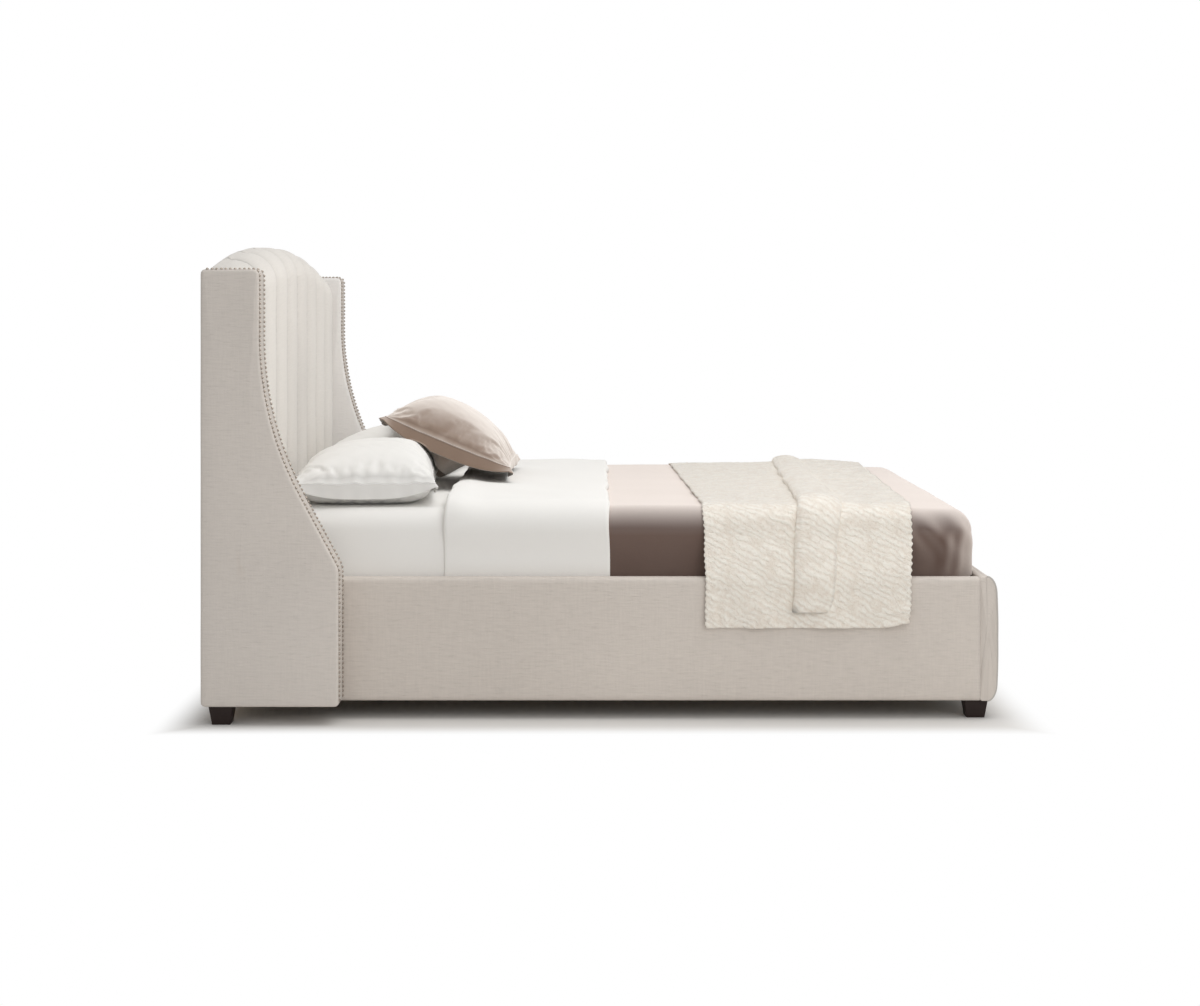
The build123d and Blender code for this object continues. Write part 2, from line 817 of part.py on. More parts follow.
# Centre legs with adjustable glides
for i, x in enumerate(centre_leg_places):
    with BuildPart() as centre_leg:
        with BuildSketch(Plane.XY.offset(glide_height)):
            with Locations((x, 0)):
                RectangleRounded(centre_leg_width, centre_leg_width, leg_corner_radius)
                Circle(glide_stem_radius + bolt_clearance, mode=Mode.SUBTRACT)
        extrude(amount=glide_stem_length + bolt_clearance)
        with BuildSketch(Plane.XY.offset(glide_height + glide_stem_length + bolt_clearance)):
            with Locations((x, 0)):
                RectangleRounded(centre_leg_width, centre_leg_width, leg_corner_radius)
        extrude(amount=centre_leg_top - glide_height - glide_stem_length - bolt_clearance)
        add(
            bolt_hole(*centre_leg_bolts[i], leg_bolt_length),
            mode=Mode.SUBTRACT,
        )
    write(f"centre_leg_{i + 1}", centre_leg.part)

with BuildPart() as leg_glides:
    with BuildSketch(Plane.XY):
        with Locations(*[(x, 0) for x in centre_leg_places]):
            Circle(glide_radius)
    extrude(amount=glide_height)
    with BuildSketch(Plane.XY.offset(glide_height)):
        with Locations(*[(x, 0) for x in centre_leg_places]):
            Circle(glide_stem_radius)
    extrude(amount=glide_stem_length)
write("leg_glides", leg_glides.part)

# Slats across the ledges and the beam
slat_places = [
    board_front + slat_head_gap + (rail_length - slat_head_gap * 2) * i / (slat_count - 1)
    for i in range(slat_count)
]
for i, x in enumerate(slat_places):
    with BuildPart() as slat:
        with BuildSketch(Plane.XZ.offset(-slat_length / 2)):
            with Locations((x, slat_bottom + slat_thickness / 2)):
                RectangleRounded(slat_width, slat_thickness, slat_edge_radius)
        extrude(amount=slat_length)
    write(f"slat_{i + 1:02d}", slat.part)


def bed_slab(grow, rise, foot):
    """The mattress's rounded block, grown round its sides and raised on top, down to foot."""
    with BuildPart() as slab:
        with BuildSketch(Plane.XY.offset(foot)):
            with Locations((mattress_middle, 0)):
                RectangleRounded(
                    mattress_length + grow * 2,
                    mattress_width + grow * 2,
                    mattress_corner_radius + grow,
                )
        extrude(amount=mattress_top + rise - foot)
        fillet(slab.faces().sort_by(Axis.Z)[-1].edges(), mattress_edge_radius + grow)
    return slab.part


def bed_strip(near_start, near_end, far_start, far_end, foot=0):
    """A tall block whose plan is a strip across the bed, from foot up."""
    with BuildPart() as strip:
        with BuildSketch(Plane.XY.offset(foot)):
            with BuildLine():
                Polyline(
                    (head_x + near_start, -wing_outer),
                    (head_x + near_end, -wing_outer),
                    (head_x + far_end, wing_outer),
                    (head_x + far_start, wing_outer),
                    (head_x + near_start, -wing_outer),
                )
            make_face()
        extrude(amount=wing_height)
    return strip.part


def foot_strip(near_start, near_end, far_start, far_end, foot):
    """A strip across the bed whose places are distances from the bed's foot."""
    reaches = (near_start, near_end, far_start, far_end)
    return bed_strip(*(bed_length - reach for reach in reaches), foot)


with BuildPart() as mattress:
    add(bed_slab(0, 0, mattress_foot))
    fillet(mattress.faces().sort_by(Axis.Z)[0].edges(), mattress_foot_radius)
write("mattress", mattress.part)

blanket_grow = fitted_sheet_thickness + blanket_thickness
with BuildPart() as fitted_sheet:
    add(bed_slab(fitted_sheet_thickness, fitted_sheet_thickness, mattress_foot + fitted_sheet_hem))
    add(bed_slab(0, 0, mattress_foot), mode=Mode.SUBTRACT)
write("fitted_sheet", fitted_sheet.part)

with BuildPart() as blanket:
    add(bed_slab(blanket_grow, blanket_grow, mattress_foot + blanket_hem))
    add(bed_slab(fitted_sheet_thickness, fitted_sheet_thickness, mattress_foot), mode=Mode.SUBTRACT)
    add(bed_strip(blanket_start, bed_length, blanket_start, bed_length), mode=Mode.INTERSECT)
write("blanket", blanket.part)

with BuildPart() as turned_sheet:
    add(
        bed_slab(
            blanket_grow + turndown_side, blanket_grow + turndown_top, mattress_foot + turndown_hem
        )
    )
    add(bed_slab(blanket_grow, blanket_grow, mattress_foot), mode=Mode.SUBTRACT)
    add(bed_strip(turndown_start, turndown_end, turndown_start, turndown_end), mode=Mode.INTERSECT)
write("turned_sheet", turned_sheet.part)

# Throw: laid across the bed, over both rails, with one pleat
throw_place = bed_length - throw_far_start
throw_span = throw_far_start - throw_far_end
throw_shoulder = mattress_edge_radius + blanket_grow + soft_gap
throw_side = mattress_width / 2 + blanket_grow + soft_gap
throw_level = mattress_top + blanket_grow + soft_gap


def throw_space(start, span, grow, foot):
    """The space under the throw, grown all round, from its foot up."""
    shoulder_middle = (throw_side - throw_shoulder, throw_level - throw_shoulder)
    with BuildPart() as space:
        with BuildSketch(Plane.YZ.offset(head_x + start)):
            with BuildLine():
                Line((0, throw_level), (shoulder_middle[0], throw_level))
                ThreePointArc(
                    (shoulder_middle[0], throw_level),
                    turned(shoulder_middle, throw_shoulder, 45),
                    (throw_side, shoulder_middle[1]),
                )
                Polyline(
                    (throw_side, shoulder_middle[1]),
                    (rail_outer + throw_rail_gap, rail_top),
                    (rail_outer + throw_rail_gap, foot),
                    (0, foot),
                    (0, throw_level),
                )
            make_face()
            mirror(about=Plane.YZ)
            if grow:
                offset(amount=grow)
        extrude(amount=span)
    return space.part


with BuildPart() as pleat:
    add(throw_space(throw_place, throw_span, throw_thickness + pleat_rise, throw_hem))
    add(
        foot_strip(
            pleat_near_start,
            pleat_near_end,
            pleat_far_start,
            pleat_far_end,
            throw_hem + pleat_hem_rise,
        ),
        mode=Mode.INTERSECT,
    )

with BuildPart() as throw:
    add(throw_space(throw_place, throw_span, throw_thickness, throw_hem))
    add(
        foot_strip(throw_near_start, throw_near_end, throw_far_start, throw_far_end, throw_hem),
        mode=Mode.INTERSECT,
    )
    add(pleat.part)
    add(
        throw_space(throw_place - overrun, throw_span + overrun * 2, 0, throw_hem - overrun),
        mode=Mode.SUBTRACT,
    )
write("throw", throw.part)


def flange_outline(half_depth, half_length, drawn_in):
    """A four-cornered outline whose sides are drawn in between the corners."""
    with BuildSketch() as outline:
        with BuildLine():
            for turn in (1, -1):
                ThreePointArc(
                    (-half_depth * turn, -half_length * turn),
                    (0, -(half_length - drawn_in) * turn),
                    (half_depth * turn, -half_length * turn),
                )
                ThreePointArc(
                    (half_depth * turn, -half_length * turn),
                    ((half_depth - drawn_in) * turn, 0),
                    (half_depth * turn, half_length * turn),
                )
        make_face()
    return outline.sketch


def stuffed_form(base, depth, length, flange, thickness, crown, belly, drawn_in):
    """A stuffed cover: crowned above and below its seam, sides drawn in, with a flat flange."""
    half_depth = depth / 2 - flange
    half_length = length / 2 - flange
    edge = thickness / 2
    with BuildPart() as form:
        for station, crowned, drawn in zip(form_station_shares, form_crown_shares, form_draw_shares):
            side = half_depth - drawn_in * drawn
            place = base.from_local_coords((0, half_length * station, 0))
            with BuildSketch(Plane(origin=place, x_dir=base.x_dir, z_dir=-base.y_dir)):
                with BuildLine():
                    ThreePointArc((-side, edge), (0, edge + crown * crowned), (side, edge))
                    Line((side, edge), (side, -edge))
                    ThreePointArc((side, -edge), (0, -edge - belly * crowned), (-side, -edge))
                    Line((-side, -edge), (-side, edge))
                make_face()
        loft()
        with BuildSketch(base.offset(-edge)):
            add(flange_outline(depth / 2, length / 2, drawn_in))
        extrude(amount=thickness)
    return form.part


# White pillows, side by side on the fitted sheet
pillow_rest = mattress_top + fitted_sheet_thickness + soft_gap
pillow_length = mattress_width / 2 - pillow_edge_gap - pillow_parting / 2
pillow_x = pad_front + channel_crown + pillow_head_gap + pillow_depth / 2
pillow_y = (pillow_parting + pillow_length) / 2
pillow_bases = {
    name: Plane(origin=(pillow_x, y, pillow_rest + pillow_seam_rise))
    for name, y in (("pillow_left", -pillow_y), ("pillow_right", pillow_y))
}
pillows = {}
for name, base in pillow_bases.items():
    with BuildPart() as pillow:
        add(
            stuffed_form(
                base,
                pillow_depth,
                pillow_length,
                pillow_flange,
                pillow_flange_thickness,
                pillow_crown,
                pillow_belly,
                pillow_drawn_in,
            )
        )
        add(bed_strip(0, bed_length, 0, bed_length, pillow_rest), mode=Mode.INTERSECT)
    pillows[name] = pillow.part
    write(name, pillow.part)

# Cushion: leans on both pillows, hollowed where it rests on them
lean = radians(cushion_tilt)
cushion_base = Plane(
    origin=(head_x + cushion_place, cushion_offset, cushion_height),
    x_dir=(cos(lean), 0, -sin(lean)),
    z_dir=(sin(lean), 0, cos(lean)),
)
rest_gap = Location((soft_gap, 0, soft_gap * 2))
with BuildPart() as cushion:
    add(
        stuffed_form(
            cushion_base,
            cushion_depth,
            cushion_length,
            cushion_flange,
            cushion_flange_thickness,
            cushion_crown,
            cushion_belly,
            cushion_drawn_in,
        )
    )
    for name, base in pillow_bases.items():
        add(pillows[name].moved(rest_gap), mode=Mode.SUBTRACT)
        with BuildSketch(base.offset(pillow_flange_thickness / 2 + soft_gap)):
            Rectangle(pillow_depth + soft_gap * 2, pillow_length + soft_gap * 2)
        extrude(amount=-(pillow_seam_rise + pillow_flange_thickness), mode=Mode.SUBTRACT)
write("cushion", cushion.part)
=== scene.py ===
"""A dressed wingback bed, with its upholstery, timber and bedding worked out as surfaces."""

import json
import math

import bpy
import numpy as np
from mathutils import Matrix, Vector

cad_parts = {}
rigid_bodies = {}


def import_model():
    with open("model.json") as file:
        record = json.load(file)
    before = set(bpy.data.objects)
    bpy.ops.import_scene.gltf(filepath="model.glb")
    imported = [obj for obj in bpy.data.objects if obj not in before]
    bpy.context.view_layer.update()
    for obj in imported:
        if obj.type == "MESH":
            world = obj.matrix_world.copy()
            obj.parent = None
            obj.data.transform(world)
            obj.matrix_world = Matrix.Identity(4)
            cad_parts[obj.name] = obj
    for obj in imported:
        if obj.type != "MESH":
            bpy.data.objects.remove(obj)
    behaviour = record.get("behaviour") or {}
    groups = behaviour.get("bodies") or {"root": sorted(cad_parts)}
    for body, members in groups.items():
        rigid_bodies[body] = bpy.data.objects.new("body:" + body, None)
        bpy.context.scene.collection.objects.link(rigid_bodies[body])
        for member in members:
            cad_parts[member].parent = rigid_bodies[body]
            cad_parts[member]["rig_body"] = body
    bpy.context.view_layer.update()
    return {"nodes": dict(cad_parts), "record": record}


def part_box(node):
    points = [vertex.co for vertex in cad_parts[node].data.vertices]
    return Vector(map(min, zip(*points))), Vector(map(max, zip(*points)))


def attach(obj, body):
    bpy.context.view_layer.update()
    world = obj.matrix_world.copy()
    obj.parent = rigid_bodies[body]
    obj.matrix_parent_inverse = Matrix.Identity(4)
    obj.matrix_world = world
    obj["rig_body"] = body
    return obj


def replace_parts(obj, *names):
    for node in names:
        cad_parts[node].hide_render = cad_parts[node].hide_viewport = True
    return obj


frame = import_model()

bl_info = {
    "name": "Wingback Bed",
    "version": (1, 0, 0),
    "blender": (4, 5, 0),
    "location": "3D View > Sidebar > Bed",
    "description": "Upholsters and dresses a wingback bed around its construction",
    "category": "Object",
}


def low(node, axis):
    """A node's lowest coordinate on an axis."""
    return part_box(node)[0][axis]


def high(node, axis):
    """A node's highest coordinate on an axis."""
    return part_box(node)[1][axis]


# Places read from the frame, in metres: X runs from head to foot, left is -Y, Z is up
HEAD = low("wing_cover_left", 0)
FOOT = high("footboard_welt", 0)
WING_FOOT_X = high("wing_cover_left", 0)
WING_TOP = high("wing_cover_left", 2)
WING_OUT = high("wing_cover_right", 1)
WING_IN = low("wing_cover_right", 1)
RAIL_OUT = high("side_rail_cover_right", 1)
RAIL_IN = low("side_rail_cover_right", 1)
RAIL_TOP = high("side_rail_cover_right", 2)
RAIL_FOOT = low("side_rail_cover_right", 2)
RAIL_START = low("side_rail_cover_right", 0)
RAIL_END = high("side_rail_cover_right", 0)
BOARD_FRONT = high("headboard_front_board", 0)
PANEL_FRONT = high("headboard_back_panel", 0)
PAD_CROWN_X = high("channel_pad", 0)
PAD_FOOT = low("channel_pad", 2)
MATTRESS_LOW, MATTRESS_HIGH = (np.array(corner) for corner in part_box("mattress"))
BLANKET_START = low("blanket", 0)
TURN_START, TURN_END = low("turned_sheet", 0), high("turned_sheet", 0)
THROW_TOP = high("blanket", 2)
THROW_HEM = low("throw", 2)

# Word and sign of the two sides
SIDES = ((-1, "left"), (1, "right"))

# The wing, in metres and degrees
WING_TOP_DEPTH = 0.160
WING_STRAIGHT = 0.184
WING_SWEEP_RADIUS = 0.909
WING_SWEEP_ANGLE = 28.2
WING_HEEL_RADIUS = 0.060
WING_CORNER = 0.018
WING_FOOT_CORNER = 0.012
WING_ROUNDING = 0.009
WING_MIDDLE = (HEAD + 0.105, 0.42)
# Painted shade along the wing's front band, and painted light on its flat sides, more on the inner one
WING_FRONT_PAINTED_SHADE, WING_FACE_PAINTED_LIGHT, WING_INNER_PAINTED_LIGHT = 0.35, 0.22, 0.90

# The headboard pad
CHANNELS = 8
CHANNEL_CROWN = 0.020
CHANNEL_SWELL = 0.017
CHANNEL_TOP_CROWN = 0.014
ARCH_RISE = 0.064
PAD_ROUND = 0.090
PAD_BACK_ROUND = 0.018
PAD_LIP = 0.026
PAD_THICKNESS = 0.038

# Rails and footboard
RAIL_ROUND = 0.010
FOOTBOARD_END_ROUND = 0.004
LINEN_WAVE = 0.0012

# Bedding
MATTRESS_CORNER = 0.075
MATTRESS_ROUND = 0.060
MATTRESS_UNDER_ROUND = 0.020
MATTRESS_SPINE_INSET = 0.75
FOOT_DROP = 0.008
SHEET_GROW = 0.0015
BLANKET_GROW = 0.004
# Each tuck's distance from the foot, its width and its height
BLANKET_TUCKS = ((0.072, 0.017, 0.0045), (0.034, 0.013, 0.0045))

# The throw: places from the headboard's back at the near side, and their move to the far side
THROW_OFF = 0.004
THROW_START, THROW_START_MOVE = 1.378, -0.053
THROW_END, THROW_END_MOVE = 1.950, 0.044
PLEAT_START, PLEAT_START_MOVE = 1.634, 0.070
PLEAT_WIDTH, PLEAT_WIDTH_MOVE = 0.117, -0.022
PLEAT_HEM = 0.045

# Pillows and cushion: the seam is at this share of the cover, and the flange beyond it
SEAM_SHARE = 0.9
SIDES_DRAWN = 0.008
PILLOW_HALF = (0.200, 0.334)
PILLOW_PLACE = (0.396, 0.425)
PILLOW_SEAM = 0.066
PILLOW_TURN = math.radians(4.5)
PILLOW_CROWN, PILLOW_BELLY = 0.095, 0.085
PILLOW_SETTLES = 0.006
CUSHION_HALF = (0.205, 0.275)
CUSHION_PLACE = (HEAD + 0.622, 0.020, 0.724)
CUSHION_TILT = math.radians(22.4)
CUSHION_CROWN, CUSHION_BELLY, CUSHION_SAG = 0.095, 0.042, 0.078
CUSHION_SETTLES = 0.012
CLOTH_PRESSURE = 3.0
CLOTH_FULLNESS = 0.035
CLOTH_FRAMES = 16


def linear(red, green, blue):
    """A screen colour from 0 to 255 as scene colour, by the usual display curve."""
    share = np.array([red, green, blue]) / 255
    return tuple(np.where(share <= 0.04045, share / 12.92, ((share + 0.055) / 1.055) ** 2.4))


def length_property(name, description, default):
    """A length that a user may change."""
    return bpy.props.FloatProperty(
        name=name, description=description, default=default, min=0, subtype="DISTANCE", unit="LENGTH"
    )


def colour_property(name, description, *screen):
    """A colour that a user may change."""
    return bpy.props.FloatVectorProperty(
        name=name, description=description, default=linear(*screen), subtype="COLOR", min=0, max=1
    )


class BedSizes(bpy.types.PropertyGroup):
    """Sizes of the upholstery and bedding."""

    wing_crown: length_property("Wing crown", "How far a wing's flat side swells", 0.003)
    rail_crown: length_property("Rail crown", "How far a rail's outer side swells", 0.003)
    pucker: length_property("Pucker", "Depth of the gathers beside a channel's seam", 0.0009)
    nail_radius: length_property("Nail radius", "Radius of a dome nail's head", 0.0043)
    nail_rise: length_property("Nail rise", "Height of a dome nail's head", 0.0046)
    nail_pitch: length_property("Nail pitch", "Distance from nail to nail", 0.0126)
    nail_inset: length_property("Nail inset", "From the wing's face to the row of nails", 0.009)
    welt_radius: length_property("Welt radius", "Radius of the footboard's corded seam", 0.0035)
    turn_thickness: length_property("Turned sheet", "Thickness of the folded sheet", 0.018)
    throw_thickness: length_property("Throw", "Thickness of the knitted throw", 0.007)
    pleat_rise: length_property("Pleat", "How far the throw's pleat stands up", 0.022)


class BedColours(bpy.types.PropertyGroup):
    """Colours of the upholstery, timber and bedding."""

    linen: colour_property("Linen", "Wings, rails and footboard", 218, 209, 200)
    channel: colour_property("Channel linen", "Headboard pad", 236, 231, 224)
    welt: colour_property("Welt", "Corded seam of the footboard", 192, 187, 180)
    nail: colour_property("Nail", "Dome nails", 166, 155, 144)
    leg: colour_property("Leg", "Dark stained timber", 38, 27, 24)
    timber: colour_property("Timber", "Planed timber of the frame", 214, 184, 144)
    board: colour_property("Plywood", "Front board of the headboard", 220, 196, 158)
    steel: colour_property("Steel", "Brackets, bolts and screws", 176, 176, 180)
    plastic: colour_property("Plastic", "Glides of the centre legs", 40, 40, 42)
    ticking: colour_property("Ticking", "Mattress cover", 232, 229, 223)
    cotton: colour_property("White cotton", "Sheets and pillows", 246, 244, 240)
    blanket: colour_property("Blanket", "Taupe blanket", 103, 82, 73)
    # Painted sheen: the colour painted on the blanket where it is seen at a low angle
    blanket_painted_sheen: colour_property("Blanket nap", "Blanket seen at a low angle", 244, 230, 220)
    satin: colour_property("Satin", "Cushion cover", 138, 117, 102)
    # Painted sheen: the colour painted on the cushion where it is seen at a low angle
    satin_painted_sheen: colour_property("Satin nap", "Cushion seen at a low angle", 252, 241, 232)
    knit: colour_property("Knit", "Cream throw", 255, 250, 240)
    # Painted shade: the colour painted in the throw's low places between its loops
    knit_painted_shade: colour_property("Knit hollow", "Cream throw between its loops", 234, 221, 206)
    floor: colour_property("Floor", "Pale floor", 232, 230, 227)


# Paths and curves


def line(start, end, count):
    """Points evenly along a straight line."""
    return np.linspace(start, end, count)


def arc(middle, radius, start, end, count):
    """Points along an arc: the middle plus the radius times cosine and sine of the angle."""
    angle = np.radians(np.linspace(start, end, count))
    return np.array(middle) + radius * np.stack([np.cos(angle), np.sin(angle)], axis=-1)


def joined(*pieces):
    """Stretches of a path as one, with no point twice in a row."""
    path = np.concatenate([np.atleast_2d(piece) for piece in pieces])
    step = np.linalg.norm(np.diff(path, axis=0), axis=1)
    return path[np.concatenate([[True], step > 1e-7])]


def lengths(path):
    """The distance along a path at each of its points."""
    return np.concatenate([[0], np.cumsum(np.linalg.norm(np.diff(path, axis=0), axis=1))])


def evenly(path, count):
    """The path again, with count points at equal distances along it."""
    along = lengths(path)
    at = np.linspace(0, along[-1], count)
    return np.stack([np.interp(at, along, path[:, k]) for k in range(path.shape[1])], axis=1)


def unit(vectors):
    """The vectors brought to a length of 1."""
    return vectors / np.maximum(np.linalg.norm(vectors, axis=-1, keepdims=True), 1e-9)


def normals_of(path):
    """Unit normals to the left of a path in a plane: the tangent turned a quarter."""
    tangent = unit(np.gradient(path, axis=0))
    return np.stack([-tangent[:, 1], tangent[:, 0]], axis=1)


def smooth(value, start, end):
    """A step from 0 to 1 between start and end, with flat ends: 3t^2 - 2t^3."""
    t = np.clip((value - start) / (end - start), 0, 1)
    return t * t * (3 - 2 * t)


def ripple(x, y, wavelength, seed, waves=7):
    """Uneven waves: the mean of sines that run in scattered directions."""
    scatter = np.random.default_rng(seed)
    angle = scatter.uniform(0, math.pi, waves)
    size = wavelength * scatter.uniform(0.6, 1.6, waves)
    phase = scatter.uniform(0, 2 * math.pi, waves)
    along = x[..., None] * np.cos(angle) + y[..., None] * np.sin(angle)
    return np.sin(2 * math.pi * along / size + phase).mean(-1) * math.sqrt(waves) / 1.6


def carried(plan, y):
    """Outlines in X and Z, each at its own y, as points in space."""
    return np.stack([plan[..., 0], np.broadcast_to(y, plan.shape[:2]), plan[..., 1]], axis=-1)


# Meshes

NO_TRIANGLES = np.zeros((0, 3), int)


def quads_of(rows, columns, closed):
    """Corner numbers of the faces between a grid's rows and columns."""
    last = columns if closed else columns - 1
    row, column = np.meshgrid(np.arange(rows - 1), np.arange(last), indexing="ij")
    beside = (column + 1) % columns
    corners = [row * columns + column, row * columns + beside]
    corners += [(row + 1) * columns + beside, (row + 1) * columns + column]
    return np.stack(corners, axis=-1).reshape(-1, 4)


def linked(name, data):
    """A new object in the scene."""
    made = bpy.data.objects.new(name, data)
    bpy.context.scene.collection.objects.link(made)
    return made


def build(name, points, quads, triangles, uv, slot, body, painted_shade=None):
    """A smooth mesh object from arrays, with a UV in metres and its slot's finish, on a body.

    A painted shade of 1 at a point darkens the cloth there, and a negative one paints light on it.
    """
    points, uv = np.reshape(points, (-1, 3)), np.reshape(uv, (-1, 2))
    mesh = bpy.data.meshes.new(name)
    mesh.vertices.add(len(points))
    mesh.vertices.foreach_set("co", np.asarray(points, np.float32).ravel())
    corners = np.concatenate([quads.ravel(), triangles.ravel()]).astype(np.int32)
    mesh.loops.add(len(corners))
    mesh.loops.foreach_set("vertex_index", corners)
    sizes = np.concatenate([np.full(len(quads), 4), np.full(len(triangles), 3)])
    starts = np.concatenate([[0], np.cumsum(sizes)[:-1]]).astype(np.int32)
    mesh.polygons.add(len(sizes))
    mesh.polygons.foreach_set("loop_start", starts)
    mesh.update(calc_edges=True)
    mesh.validate()
    layer = mesh.uv_layers.new(name="cloth")
    found = np.empty(len(mesh.loops), np.int32)
    mesh.loops.foreach_get("vertex_index", found)
    layer.data.foreach_set("uv", np.asarray(uv, np.float32)[found].ravel())
    mesh.polygons.foreach_set("use_smooth", np.ones(len(mesh.polygons), bool))
    if painted_shade is not None:
        shade = mesh.attributes.new("painted_shade", "FLOAT", "POINT")
        shade.data.foreach_set("value", np.asarray(painted_shade, np.float32).ravel())
    mesh.update()
    piece = linked(name, mesh)
    piece.data.materials.append(MATERIALS[slot])
    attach(piece, body)
    return piece


def welded(piece, distance=1e-6):
    """Join points that share a place, and turn all faces outwards."""
    import bmesh

    shape = bmesh.new()
    shape.from_mesh(piece.data)
    bmesh.ops.remove_doubles(shape, verts=shape.verts, dist=distance)
    bmesh.ops.recalc_face_normals(shape, faces=shape.faces)
    shape.to_mesh(piece.data)
    shape.free()
    return piece


def volume_sign(points, quads):
    """The sign of the volume that outward faces would enclose, from their corners' products."""
    a, b, c, d = (points[quads[:, k]] for k in range(4))
    return np.sign((a * np.cross(b, c)).sum() + (a * np.cross(c, d)).sum())


def ring_loft(name, rings, uv, slot, body, painted_shade=None):
    """A closed form: rings of points joined in order, with a fan to the middle at each end."""
    rows, columns, _ = rings.shape
    points = np.concatenate([rings.reshape(-1, 3), rings[[0, -1]].mean(1)])
    cloth = np.concatenate([uv.reshape(-1, 2), uv[[0, -1]].mean(1)])
    quads = quads_of(rows, columns, True)
    ring = np.arange(columns)
    beside = (ring + 1) % columns
    first, last = rows * columns, rows * columns + 1
    end = (rows - 1) * columns
    start_fan = np.stack([beside, ring, np.full(columns, first)], axis=-1)
    end_fan = np.stack([end + ring, end + beside, np.full(columns, last)], axis=-1)
    triangles = np.concatenate([start_fan, end_fan])
    if volume_sign(points, quads) < 0:
        quads, triangles = quads[:, ::-1], triangles[:, ::-1]
    if painted_shade is not None:
        painted_shade = np.append(painted_shade.ravel(), [0, 0])
    return build(name, points, quads, triangles, cloth, slot, body, painted_shade)


def grid_sheet(name, grid, uv, slot, body, painted_shade=None, closed=False):
    """A sheet from a grid of points, whose last column meets its first where it is closed."""
    quads = quads_of(grid.shape[0], grid.shape[1], closed)
    return build(name, grid, quads, NO_TRIANGLES, uv, slot, body, painted_shade)


def thickened(piece, thickness):
    """Give an open sheet its thickness, outwards."""
    solid = piece.modifiers.new("thickness", "SOLIDIFY")
    solid.thickness, solid.offset, solid.use_rim = thickness, 1.0, True


# Node groups and materials


def node(tree, kind, inputs=(), **settings):
    """Add a node, with its settings and its inputs, which are values or other sockets."""
    made = tree.nodes.new(kind)
    for key, value in settings.items():
        setattr(made, key, value)
    for key, value in dict(inputs).items():
        socket = made.inputs[key]
        if isinstance(value, bpy.types.NodeSocket):
            tree.links.new(value, socket)
        else:
            socket.default_value = value
    return made


def maths(tree, operation, *values):
    """A Math node's result."""
    return node(tree, "ShaderNodeMath", enumerate(values), operation=operation).outputs[0]


def weighted(tree, *terms):
    """The sum of values, each times its weight."""
    total = None
    for value, weight in terms:
        part = value if weight == 1 else maths(tree, "MULTIPLY", value, weight)
        total = part if total is None else maths(tree, "ADD", total, part)
    return total


def scaled(tree, vector, factor):
    """A vector or colour times a factor."""
    inputs = {0: vector, "Scale": factor}
    return node(tree, "ShaderNodeVectorMath", inputs, operation="SCALE").outputs[0]


def stretched(tree, vector, scale):
    """The vector with each axis scaled."""
    return node(tree, "ShaderNodeMapping", {"Vector": vector, "Scale": scale}).outputs[0]


def noise(tree, vector, scale, detail=2.0, roughness=0.5):
    """A Noise Texture's value."""
    inputs = {"Vector": vector, "Scale": scale, "Detail": detail, "Roughness": roughness}
    return node(tree, "ShaderNodeTexNoise", inputs).outputs[0]


def ranged(tree, value, start, end, low_end=0.0, high_end=1.0, **settings):
    """A value from start to end brought to the range between the low and the high end."""
    inputs = {"Value": value, "From Min": start, "From Max": end, "To Min": low_end, "To Max": high_end}
    return node(tree, "ShaderNodeMapRange", inputs, **settings).outputs[0]


def blend(tree, factor, first, second):
    """The first colour where the factor is 0, and the second where it is 1."""
    inputs = {"Factor": factor, 6: first, 7: second}
    return node(tree, "ShaderNodeMix", inputs, data_type="RGBA").outputs[2]


def new_group(name, outputs, **values):
    """An empty node group that takes a vector and the named values."""
    group = bpy.data.node_groups.new(name, "ShaderNodeTree")
    group.interface.new_socket("Vector", in_out="INPUT", socket_type="NodeSocketVector")
    for label, default in values.items():
        socket = group.interface.new_socket(label, in_out="INPUT", socket_type="NodeSocketFloat")
        socket.default_value = default
    for label in outputs:
        group.interface.new_socket(label, in_out="OUTPUT", socket_type="NodeSocketFloat")
    return group, group.nodes.new("NodeGroupInput").outputs, group.nodes.new("NodeGroupOutput").inputs


def weave_group():
    """Slubby plain weave: streaky noise along and across the cloth, with thicker threads in it."""
    group, given, result = new_group("Weave", ("Shade", "Height"), Threads=1.0, Slub=0.5)
    cloth = scaled(group, given["Vector"], given["Threads"])
    weft = noise(group, stretched(group, cloth, (20, 210, 1)), 1.0, 4.0, 0.7)
    warp = noise(group, stretched(group, cloth, (170, 13, 1)), 1.0, 4.0, 0.7)
    thick = noise(group, stretched(group, cloth, (30, 150, 1)), 1.0, 2.0, 0.5)
    slub = maths(group, "POWER", maths(group, "MULTIPLY", thick, 1.35), 5.0)
    woven = weighted(group, (weft, 0.58), (warp, 0.42))
    marked = maths(group, "MULTIPLY", slub, given["Slub"])
    group.links.new(weighted(group, (woven, 1), (marked, 1)), result["Height"])
    group.links.new(weighted(group, (woven, 1), (marked, -0.35)), result["Shade"])
    return group


def drift_group():
    """Slow change of tone over a surface, from broad noise."""
    group, given, result = new_group("Drift", ("Shade",), Size=3.0)
    group.links.new(noise(group, given["Vector"], given["Size"], 3.0), result["Shade"])
    return group


def grain_group():
    """Timber grain along X: noise drawn out along the board, with fine pores."""
    group, given, result = new_group("Grain", ("Shade", "Height"), Size=1.0)
    sized = scaled(group, given["Vector"], given["Size"])
    rings = noise(group, stretched(group, sized, (2.5, 34, 34)), 1.0, 4.0, 0.62)
    pores = noise(group, stretched(group, sized, (30, 700, 700)), 1.0, 2.0, 0.5)
    group.links.new(weighted(group, (rings, 0.8), (pores, 0.2)), result["Shade"])
    group.links.new(pores, result["Height"])
    return group


